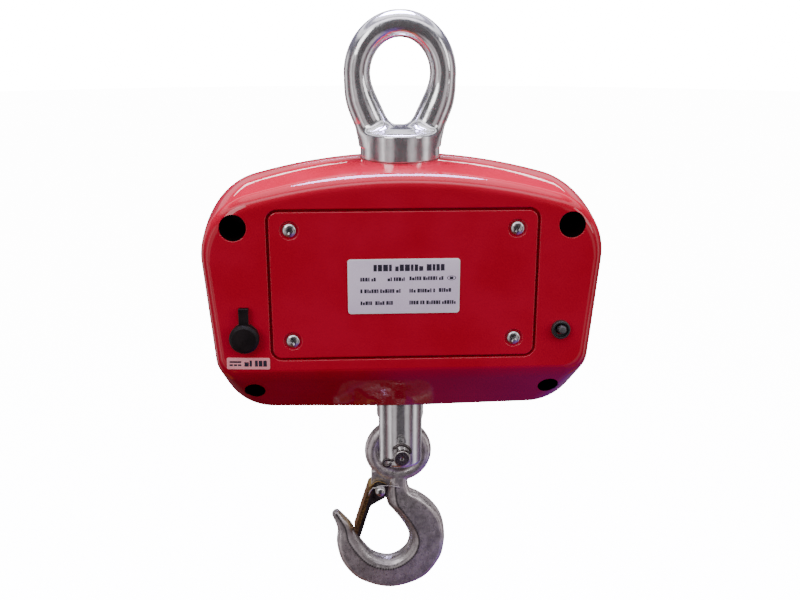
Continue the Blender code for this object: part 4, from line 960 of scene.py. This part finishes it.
def segment_field(points, low, high, step, closed):
    """Distance to a chain of 2-D points on a grid, negative inside it if it is closed."""
    xs, zs = (np.arange(low[k], high[k] + step, step) for k in (0, 1))
    gx, gz = np.meshgrid(xs, zs, indexing="ij")
    best = np.full(gx.shape, 1e9)
    inside = np.zeros(gx.shape, bool)
    chain = np.array(points, float)
    following = np.roll(chain, -1, axis=0)
    for (ax, az), (bx, bz) in list(zip(chain, following))[: None if closed else -1]:
        dx, dz = bx - ax, bz - az
        if not dx and not dz:
            continue
        along = np.clip(((gx - ax) * dx + (gz - az) * dz) / (dx * dx + dz * dz), 0, 1)
        best = np.minimum(best, np.hypot(gx - ax - along * dx, gz - az - along * dz))
        if closed and az != bz:
            inside ^= ((az > gz) != (bz > gz)) & (gx < dx * (gz - az) / dz + ax)
    return np.where(inside, -best, best)


def sampled(field, low, step, x, z):
    """Bilinear reading of a grid."""
    u = np.clip((x - low[0]) / step, 0, field.shape[0] - 1.001)
    v = np.clip((z - low[1]) / step, 0, field.shape[1] - 1.001)
    i, j = u.astype(int), v.astype(int)
    u, v = u - i, v - j
    return ((1 - u) * (1 - v) * field[i, j] + u * (1 - v) * field[i + 1, j]
            + (1 - u) * v * field[i, j + 1] + u * v * field[i + 1, j + 1])


def surface_net(values, low, step):
    """Points and quads of the zero surface of a 3-D grid, its normals towards larger values."""
    shape = [n - 1 for n in values.shape]
    total = np.zeros((*shape, 3), np.float32)
    count = np.zeros(shape, np.float32)
    crossings = []
    for axis in range(3):
        a = np.delete(values, -1, axis)
        b = np.delete(values, 0, axis)
        cross = (a < 0) != (b < 0)
        crossings.append((cross, a < 0))
        with np.errstate(divide="ignore", invalid="ignore"):
            part = np.where(cross, a / (a - b), 0)
        others = [k for k in range(3) if k != axis]
        for d0 in (0, 1):
            for d1 in (0, 1):
                window = [slice(None)] * 3
                window[others[0]] = slice(d0, d0 + shape[others[0]])
                window[others[1]] = slice(d1, d1 + shape[others[1]])
                hit = cross[tuple(window)]
                total[..., axis] += part[tuple(window)]
                total[..., others[0]] += hit * d0
                total[..., others[1]] += hit * d1
                count += hit
    used = count > 0
    ids = np.full(shape, -1)
    ids[used] = np.arange(used.sum())
    cells = np.argwhere(used)
    points = np.array(low) + step * (cells + total[used] / count[used][:, None])
    quads = []
    for axis, (cross, begins_inside) in enumerate(crossings):
        one, two = [(1, 2), (2, 0), (0, 1)][axis]
        at = np.argwhere(cross)
        at = at[(at[:, one] > 0) & (at[:, two] > 0) & (at[:, one] < shape[one]) & (at[:, two] < shape[two])]
        corners = []
        for d1, d2 in ((-1, -1), (0, -1), (0, 0), (-1, 0)):
            cell = at.copy()
            cell[:, one] += d1
            cell[:, two] += d2
            corners.append(ids[tuple(cell.T)])
        quad = np.stack(corners, 1)
        flip = ~begins_inside[tuple(at.T)]
        quad[flip] = quad[flip][:, ::-1]
        quads.append(quad)
    return points, np.concatenate(quads)


def lifting_eye():
    """Ring, legs and collar as one forging, its parts melted into each other by a soft union."""
    middle = -23.1
    leg = [(28.2, middle), (27.5, -30), (25.5, -38.4), (21.6, -49.0), (17.2, -58.6), (14.3, -66.0)]
    right = [tuple(p) for p in smooth(leg, 8)]
    top = [(28.2 * math.cos(a), middle + 31.8 * math.sin(a))
           for a in (math.pi * k / 64 for k in range(1, 64))]
    path = [(x * MM, z * MM) for x, z in right[::-1] + top + [(-x, z) for x, z in right]]
    collar = [(0, -56.2), (9, -56.5), (15, -57.2), (20.5, -58.7), (23.6, -59.6)]
    collar += arc((24.1, -62.0), 2.4, 80, 0, 8) + [(26.5, -77.4), (26.1, -78.0), (13.5, -78.0)]
    collar += [(13.5, -114.1), (12.0, -115.6), (0, -115.6)]
    collar = [(r * MM, z * MM) for r, z in collar]
    fine = 0.25 * MM
    ring_low, ring_high = (-42 * MM, -120 * MM), (42 * MM, 24 * MM)
    ring_field = segment_field(path, ring_low, ring_high, fine, False)
    mirrored = collar + [(-r, z) for r, z in reversed(collar)]
    collar_field = segment_field(mirrored, ring_low, ring_high, fine, True)
    blend = 7.0 * MM
    bump_at = 0.10 * MM

    def field(x, y, z):
        swell = np.clip((-23 * MM - z) / (24 * MM), 0, 1)
        stock = (8.7 + 2.0 * swell**2 * (3 - 2 * swell)) * MM
        ring = np.hypot(sampled(ring_field, ring_low, fine, x, z), y) - stock
        body = sampled(collar_field, ring_low, fine, np.hypot(x, y), z)
        soft = np.clip(blend - np.abs(ring - body), 0, None) * (z > -70 * MM)
        dents = bump_at * np.sin(x / (7 * MM) + 1.3) * np.sin(y / (5 * MM)) * np.sin(z / (8 * MM) + 0.4)
        return np.minimum(ring, body) - soft**2 / (4 * blend) + dents * (z > -58 * MM)

    step = 0.7 * MM
    low = (EYE_BOX[0].x - 3 * MM, EYE_BOX[0].y - 4 * MM, EYE_BOX[0].z - 2 * MM)
    high = (EYE_BOX[1].x + 3 * MM, EYE_BOX[1].y + 4 * MM, EYE_BOX[1].z + 3 * MM)
    axes = [np.arange(low[k], high[k], step) for k in range(3)]
    points, quads = surface_net(field(*np.meshgrid(*axes, indexing="ij")), low, step)
    tiny = 0.1 * MM
    for _ in range(3):
        value = field(*points.T)
        slope = np.stack([
            (field(*(points + tiny * axis).T) - field(*(points - tiny * axis).T)) / (2 * tiny)
            for axis in np.eye(3)
        ], 1)
        points = points - slope * (value / np.maximum((slope**2).sum(1), 0.2))[:, None]
    points[:, 2] = np.minimum(points[:, 2], EYE_BOX[1].z)
    mesh = bpy.data.meshes.new("eye")
    mesh.from_pydata(points.tolist(), [], quads.tolist())
    eye = bmesh.new()
    eye.from_mesh(mesh)
    bpy.data.meshes.remove(mesh)
    piece("lifting_eye_fine", eye, "chrome_eye", "housing", "chrome", "lifting_eye", sharp=60)


# Swivel ------------------------------------------------------------------------------------------


def swivel_clevis():
    low, high = CLEVIS_BOX[0].z, HOUSING_Z - 60.6 * MM
    radius, end = 17 * MM, 4 * MM
    profile = [(0, low)] + arc((radius - end, low + end), end, -90, 0, 10)
    profile += [(radius, high), (12 * MM, high), (12 * MM, HOUSING_Z - 17 * MM), (0, HOUSING_Z - 16 * MM)]
    clevis = turned(profile, steps=128)
    slot_top = HOUSING_Z - 86 * MM
    slot = [(-7 * MM, low - 10 * MM), (-7 * MM, slot_top - 3 * MM)]
    slot += arc((-4 * MM, slot_top - 3 * MM), 3 * MM, 180, 90, 6)[1:]
    slot += arc((4 * MM, slot_top - 3 * MM), 3 * MM, 90, 0, 6) + [(7 * MM, low - 10 * MM)]
    slot = skin([[(x, y, z) for y, z in slot] for x in (-30 * MM, 30 * MM)])
    bore = cylinder(6.2 * MM, -30 * MM, 30 * MM, "Y", (0, 0, PIN_Z))
    piece("swivel_clevis_fine", cut(clevis, slot, bore), "chrome", "swivel", "chrome", "swivel_clevis",
          sharp=35, bevel=0.45 * MM)


def hook_pin():
    near, far = PIN_BOX[0].y, PIN_BOX[1].y
    profile = [(0, near), (4.4 * MM, near)] + arc((4.9 * MM, near + 1.1 * MM), 1.1 * MM, -90, 0, 6)
    profile += [(6 * MM, far - 4 * MM), (8.1 * MM, far - 4 * MM), (8.5 * MM, far - 3.6 * MM)]
    profile += arc((7.3 * MM, far - 1.2 * MM), 1.2 * MM, 0, 90, 6) + [(0, far)]
    pin = turned(profile, "Y", (0, 0, PIN_Z))
    turn = Matrix.Rotation(-math.radians(25), 3, "Y")
    hole = moved(cylinder(1.7 * MM, -20 * MM, 20 * MM, "X", (0, 0, 0), 32), turn, (0, -24.5 * MM, PIN_Z))
    dimple = turned([(0, near - 3 * MM), (2.6 * MM, near - 3 * MM), (1.5 * MM, near + 0.2 * MM),
                     (0, near + 0.8 * MM)], "Y", (0, 0, PIN_Z), 32)
    piece("hook_pin_fine", cut(pin, hole, dimple), "pin_steel", "swivel", "chrome", "hook_pin",
          sharp=35)


def cotter_pin():
    """A wire through the pin: an eye at one side, and its end bent over the pin at the other."""
    flat = [(-11.6 + 2.6 * math.cos(a), 2.6 * math.sin(a))
            for a in (math.radians(325 - 300 * k / 30) for k in range(31))]
    flat += [(-7.6, 0.0), (0, 0.0), (7.4, 0.0)]
    for k in range(1, 15):
        a = math.radians(8 * k)
        flat.append((7.4 * math.cos(a) + 0.9 * math.sin(a), 8.6 * math.sin(a)))
    turn = Matrix.Rotation(math.radians(25), 2)
    path = []
    for x, z in flat:
        p = turn @ Vector((x * MM, z * MM))
        path.append((p.x, -24.5 * MM, PIN_Z + p.y))
    piece("cotter_pin_fine", tube(path, 1.1 * MM, 16), "wire", "swivel", "wire", "cotter_pin", sharp=50)


# Hook --------------------------------------------------------------------------------------------


def hook_section(row):
    """One section across the forging, and its ridge point: a rounded seat, a ridge, a side and a back."""
    inner, outer = Vector((row[0], 0, row[1])), Vector((row[2], 0, row[3]))
    across = outer - inner
    width = across.length
    across.normalize()
    half = row[4]
    bevel = min(HOOK_BEVEL, 0.42 * width)
    edge = min(3.6, 0.25 * width)
    seat = [(0.0, 0.0), (0.03 * bevel, 0.24), (0.14 * bevel, 0.46), (0.34 * bevel, 0.68),
            (0.62 * bevel, 0.86), (bevel - 0.5, 0.975)]
    panel = [(bevel, 1.0), (bevel + 0.5, 0.985), (0.5 * (bevel + width - edge), 0.955), (width - edge, 0.92),
             (width - 0.62 * edge, 0.84), (width - 0.3 * edge, 0.68), (width - 0.08 * edge, 0.42), (width, 0.0)]
    side = seat + panel
    section = side + [(u, -v) for u, v in reversed(side[1:-1])]
    centre = Vector((0, 0, PIN_Z))
    ring = [centre + (inner + across * u) * MM + Vector((0, v * half * MM, 0)) for u, v in section]
    return ring, centre + (inner + across * bevel) * MM, half * MM


def hook():
    rows = [Vector(row) for row in HOOK_STATIONS]
    rows = smooth(rows, 7)
    sections = [hook_section(row) for row in rows]
    tip_from, tip = rows[-3], rows[-1]
    forward = (Vector(tip[:2]) + Vector(tip[2:4]) - Vector(tip_from[:2]) - Vector(tip_from[2:4])).normalized()
    rings = [ring for ring, _, _ in sections]
    last = sum(rings[-1], Vector()) / len(rings[-1])
    for reach, shrink in ((0.9, 0.86), (1.6, 0.6), (1.95, 0.28)):
        shift = Vector((forward.x, 0, forward.y)) * reach * MM
        rings.append([last + (p - last) * shrink + shift for p in rings[len(sections) - 1]])
    body = skin(rings)
    x, z = HOOK_EYE
    at = (x, 0, PIN_Z + z)
    ring = [(19 * MM + 5.6 * MM * math.cos(a), 5.6 * MM * math.sin(a))
            for a in (2 * math.pi * k / 32 for k in range(32))]
    eye = turned(ring, "Y", at)
    outline = [(-21.5, -22, 2), (-21.5, -38.5, 6), (-13, -43.5, 4), (-6, -44, 1), (-4, -22, 1)]
    lug = [(p.x, p.y + PIN_Z) for p in rounded([(a * MM, b * MM, r * MM) for a, b, r in outline], 10)]
    lug = prism(lug, -4.5 * MM, 4.5 * MM)
    clear = cylinder(13.4 * MM, -9 * MM, 9 * MM, "Y", at)
    rivet_hole = cylinder(2.3 * MM, -9 * MM, 9 * MM, "Y", LATCH_AT, 32)
    solid = cut(fuse(body, eye, lug), clear, rivet_hole)
    solid = applied(
        solid,
        ("REMESH", {"mode": "VOXEL", "voxel_size": HOOK_VOXEL}),
        ("SMOOTH", {"factor": 0.5, "iterations": 3}),
    )
    made = piece("hook_fine", solid, "forged", "hook_body", "forged", "hook", sharp=60)
    points = np.empty(len(made.data.vertices) * 3, np.float32)
    made.data.vertices.foreach_get("co", points)
    points = points.reshape(-1, 3)
    # Painted shade for the forged look: a dark line along the ridge, and up to 0.42 of it over the seat by the inner
    # edge.
    line = np.array([(ridge.x, ridge.z) for _, ridge, _ in sections[10:]])
    distance = np.full(len(points), 1.0)
    for px, pz in line:
        distance = np.minimum(distance, np.hypot(points[:, 0] - px, points[:, 2] - pz))
    seat = np.full(len(points), 1.0)
    for ring, _, _ in sections[10:]:
        seat = np.minimum(seat, np.hypot(points[:, 0] - ring[0].x, points[:, 2] - ring[0].z))
    shaded = 0.42 * np.clip((6.6 * MM - seat) / (1.5 * MM), 0, 1)
    strength = np.exp(-((distance / (0.85 * MM)) ** 2)) * (np.abs(points[:, 1]) > 2.2 * MM)
    strength = np.maximum(strength, shaded)
    attribute = made.data.attributes.new("painted_ridge_shade", "FLOAT", "POINT")
    attribute.data.foreach_set("value", strength.astype(np.float32))


def latch_rivet():
    near, far = -11.2 * MM, 7.3 * MM
    profile = [(0, near - 1.8 * MM)] + [(3.6 * MM * math.sin(a), near - 1.8 * MM * math.cos(a))
                                        for a in (math.pi / 2 * k / 8 for k in range(1, 9))]
    profile += [(2 * MM, near), (2 * MM, far)]
    profile += [(3.6 * MM * math.cos(a), far + 1.8 * MM * math.sin(a))
                for a in (math.pi / 2 * k / 8 for k in range(8))] + [(0, far + 1.8 * MM)]
    piece("latch_rivet_fine", turned(profile, "Y", LATCH_AT, SMALL_ROUND), "steel", "hook_body", "steel",
          "latch_rivet", sharp=40)


def latch_spring():
    """A torsion spring on the rivet: three turns, one leg on the hook's neck and one on the latch."""
    radius, turns, steps = 3.3, 3, 28
    path = [(14.0, -8.2, 2.0), (10.0, -8.1, 2.7), (6.0, -7.95, 3.25), (3.0, -7.95, 3.3)]
    for k in range(turns * steps + 1):
        angle = math.pi / 2 + 2 * math.pi * k / steps
        path.append((radius * math.cos(angle), -7.95 - 2.6 * k / (turns * steps), radius * math.sin(angle)))
    path += [(-3.0, -10.55, 3.25), (-5.5, -10.45, 3.0), (-7.4, -10.2, 0.4), (-8.6, -10.0, -3.0)]
    path = [LATCH_AT + Vector(p) * MM for p in path]
    piece("latch_spring_fine", tube(path, 0.45 * MM, 12), "steel", "hook_body", "steel", "latch_spring",
          sharp=50)


def safety_latch():
    """A folded sheet channel: its web on the outside, its cheeks over the hook's lug."""
    cheek = ((-8.7, -1.0, 1.5), (-4.0, 5.6, 3.0), (5.5, 5.6, 5.0), (5.5, -6.0, 4.0), (-2.9, -15.0, 5.0),
             (-2.9, -43.4, 1.0), (-8.7, -39.0, 0.8))
    outline = [tuple(p) for p in rounded([(x * MM, z * MM, r * MM) for x, z, r in cheek], 8)]
    latch = prism(outline, -7 * MM, 7 * MM)
    inside = block((-7.2 * MM, -5.5 * MM, -60 * MM), (20 * MM, 5.5 * MM, 20 * MM))
    bore = cylinder(2.3 * MM, -9 * MM, 9 * MM, "Y", (0, 0, 0), 32)
    latch = cut(latch, inside, bore)
    geometry = latch.verts[:] + latch.edges[:] + latch.faces[:]
    bmesh.ops.bisect_plane(latch, geom=geometry, plane_co=(STRIPE_X, 0, 0), plane_no=(1, 0, 0))
    # painted shade: the cheek faces inside the channel, past the web's bend, take the dark second material
    for face in latch.faces:
        inward = face.calc_center_median().x > STRIPE_X
        face.material_index = int(inward and abs(face.normal.y) > 0.9)
    latch = moved(latch, Matrix.Rotation(math.radians(17), 3, "Y"), LATCH_AT)
    piece("safety_latch_fine", latch, "zinc", "latch_body", "zinc", "safety_latch", sharp=30, bevel=0.35 * MM,
          other_looks=("painted_shade_cheek",))


# Stage and light ---------------------------------------------------------------------------------


def stage():
    """A wide pale floor under the hanging object."""
    bm = bmesh.new()
    bmesh.ops.create_circle(bm, cap_ends=True, radius=12.0, segments=64)
    floor = as_object(bm, "floor")
    floor.location = (0, 0, CAD_BOX[0].z - 0.45)
    made, tree, shader = blank("floor", 0.0, Emission_Strength=14.0)
    tone = mixed(tree, noise(tree, 0.8, 2), (0.93, 0.93, 0.935), (0.97, 0.97, 0.97))
    link(tree, tone, shader.inputs["Base Color"])
    link(tree, tone, shader.inputs["Emission Color"])
    floor.data.materials.append(made)
    floor.visible_diffuse = False
    floor.visible_glossy = False
    floor.visible_transmission = False
    floor.visible_shadow = False


def area_light(name, place, target, size, power, colour=(1, 1, 1)):
    data = bpy.data.lights.new(name, "AREA")
    data.shape = "ELLIPSE"
    data.size, data.size_y = size
    data.energy = power
    data.color = colour
    light = bpy.data.objects.new(name, data)
    bpy.context.scene.collection.objects.link(light)
    light.location = place
    light.rotation_mode = "QUATERNION"
    light.rotation_quaternion = (Vector(target) - Vector(place)).to_track_quat("-Z", "Y")
    light.visible_camera = False
    return light


def lights():
    middle = Vector((0, 0, HOUSING_Z))
    area_light("overhead", (0.0, 0.25, 1.0), middle, (0.8, 0.6), 44, (1.0, 0.9, 1.75))
    area_light("front_left", (-1.1, -1.5, 0.75), middle, (0.9, 0.9), 9.6)
    area_light("front_right", (1.4, -1.0, 0.4), middle, (0.5, 0.9), 4)
    back_strip = HOUSING_Z + 0.1 + 1.5 * math.tan(math.radians(17.5))
    for name, x in (("strip_left", -0.42), ("strip_right", 0.5)):
        area_light(name, (x, 1.5, back_strip), (x * 0.2, 0, HOUSING_Z + 0.1), (0.62, 0.06), 0.7)


def world():
    """Pale surroundings: what the camera sees, what lights matt surfaces, and what gloss mirrors."""
    made = bpy.data.worlds.new("surroundings")
    bpy.context.scene.world = made
    made.use_nodes = True
    tree = made.node_tree
    tree.nodes.clear()
    coords = node(tree, "ShaderNodeTexCoord")
    split = node(tree, "ShaderNodeSeparateXYZ")
    link(tree, coords.outputs["Generated"], split.inputs["Vector"])
    x, y, z = (split.outputs[k] for k in "XYZ")

    def maths(operation, *values):
        made_node = node(tree, "ShaderNodeMath", operation=operation)
        for i, value in enumerate(values):
            if isinstance(value, (int, float)):
                made_node.inputs[i].default_value = value
            else:
                link(tree, value, made_node.inputs[i])
        return made_node.outputs[0]

    def colour_ramp(source, stops, kind="EASE"):
        made_node = node(tree, "ShaderNodeValToRGB")
        made_node.color_ramp.interpolation = kind
        elements = made_node.color_ramp.elements
        while len(elements) > 1:
            elements.remove(elements[-1])
        for i, (place, colour) in enumerate(stops):
            element = elements[0] if i == 0 else elements.new(place)
            element.position = place
            element.color = (*colour, 1)
        link(tree, source, made_node.inputs["Fac"])
        return made_node.outputs["Color"]

    height = maths("ADD", maths("MULTIPLY", z, 0.5), 0.5)
    around = maths("ARCTAN2", x, maths("MULTIPLY", y, -1))
    around = maths("ADD", maths("DIVIDE", around, 2 * math.pi), 0.5)
    soft = colour_ramp(height, (
        (0.0, (0.03, 0.025, 0.03)), (0.30, (0.06, 0.055, 0.06)), (0.45, (0.45, 0.44, 0.45)),
        (0.60, (0.85, 0.85, 0.86)), (1.0, (1.0, 1.0, 1.0)),
    ))
    dark, maroon, grey, pale, white = (
        (0.012, 0.009, 0.011), (0.07, 0.028, 0.036), (0.17, 0.155, 0.16), (0.34, 0.32, 0.33), (0.72, 0.70, 0.71))
    bands = colour_ramp(around, (
        (0.0, dark), (0.06, maroon), (0.10, grey), (0.14, maroon), (0.17, pale), (0.20, white), (0.23, grey),
        (0.27, dark), (0.30, maroon), (0.335, pale), (0.355, white), (0.38, grey), (0.42, pale), (0.44, grey),
        (0.452, dark), (0.548, dark), (0.56, grey), (0.59, pale), (0.62, grey), (0.64, maroon), (0.67, dark),
        (0.69, pale), (0.72, white), (0.75, grey), (0.79, maroon), (0.83, dark), (0.87, pale), (0.91, grey),
        (0.95, maroon), (1.0, dark),
    ), "LINEAR")
    ceiling = colour_ramp(height, (
        (0.0, (0.02, 0.02, 0.02)), (0.76, (0.02, 0.02, 0.02)), (0.79, (0.7, 0.7, 0.72)), (0.84, (0.9, 0.9, 0.92)),
        (0.86, (0.12, 0.12, 0.125)), (0.91, (0.2, 0.2, 0.21)), (0.93, (0.9, 0.9, 0.92)), (1.0, (1, 1, 1)),
    ), "LINEAR")
    mirrored = mixed(tree, ramp(tree, height, 0, 1, 0.60, 0.66), bands, ceiling)
    behind = ramp(tree, y, 0, 1, 0.45, 0.75)
    low_band = maths("MULTIPLY", ramp(tree, height, 0, 1, 0.52, 0.54), ramp(tree, height, 1, 0, 0.60, 0.62))
    mirrored = mixed(tree, maths("MULTIPLY", behind, low_band), mirrored, (0.25, 0.24, 0.25))
    in_front = ramp(tree, y, 1, 0, -0.7, -0.35)
    panel = maths("MULTIPLY", ramp(tree, height, 0, 1, 0.80, 0.83), ramp(tree, height, 1, 0, 0.87, 0.90))
    mirrored = mixed(tree, maths("MULTIPLY", in_front, panel), mirrored, (1.7, 1.6, 1.8))
    ground_noise = node(tree, "ShaderNodeTexNoise")
    ground_noise.inputs["Scale"].default_value = 5.0
    link(tree, coords.outputs["Generated"], ground_noise.inputs["Vector"])
    ground = colour_ramp(x, ((0.0, (0.03, 0.006, 0.008)), (0.05, (0.05, 0.010, 0.08)), (0.35, (0.07, 0.012, 0.26))))
    streak = maths("MULTIPLY", ramp(tree, ground_noise.outputs["Fac"], 0, 1, 0.46, 0.6),
                   ramp(tree, maths("ABSOLUTE", maths("SUBTRACT", height, 0.075)), 1, 0, 0.0, 0.045))
    ground = mixed(tree, streak, ground, (0.34, 0.10, 0.02))
    to_ground = ramp(tree, height, 1, 0, 0.10, 0.28)
    mirrored = mixed(tree, to_ground, mirrored, ground)

    path = node(tree, "ShaderNodeLightPath")
    shaders = []
    for colour, strength in ((soft, 0.95), (mirrored, 2.2), ((0.97, 0.97, 0.975), 18.0)):
        background = node(tree, "ShaderNodeBackground")
        background.inputs["Strength"].default_value = strength
        if isinstance(colour, tuple):
            background.inputs["Color"].default_value = (*colour, 1)
        else:
            link(tree, colour, background.inputs["Color"])
        shaders.append(background.outputs[0])
    first = node(tree, "ShaderNodeMixShader")
    link(tree, path.outputs["Is Diffuse Ray"], first.inputs[0])
    link(tree, shaders[1], first.inputs[1])
    link(tree, shaders[0], first.inputs[2])
    second = node(tree, "ShaderNodeMixShader")
    link(tree, path.outputs["Is Camera Ray"], second.inputs[0])
    link(tree, first.outputs[0], second.inputs[1])
    link(tree, shaders[2], second.inputs[2])
    output = node(tree, "ShaderNodeOutputWorld")
    link(tree, second.outputs[0], output.inputs["Surface"])


# Nodes that keep their CAD shape -----------------------------------------------------------------


def dress_frame():
    slots = {part["node"]: part["material_slot"] for part in frame["record"]["subparts"]}
    for name, obj in frame["nodes"].items():
        for slot in obj.material_slots:
            slot.material = LOOKS[slots[name]]


LOOKS = make_looks()
LOOKS["chrome_eye"] = chrome_look("chrome_eye", 0.75)
LOOKS["pin_steel"] = surface("pin_steel", (0.50, 0.48, 0.47), (0.36, 0.34, 0.34), (0.18, 0.34), 1.0, 200, 1400)
make_camera()
dress_frame()
rear_shell()
front_shell()
battery_cover()
cover_screws()
case_screws()
nameplate()
charging_sticker()
charging_cap()
power_switch()
display_side()
buttons()
lifting_eye()
swivel_clevis()
hook_pin()
cotter_pin()
hook()
latch_rivet()
latch_spring()
safety_latch()
stage()
lights()
world()
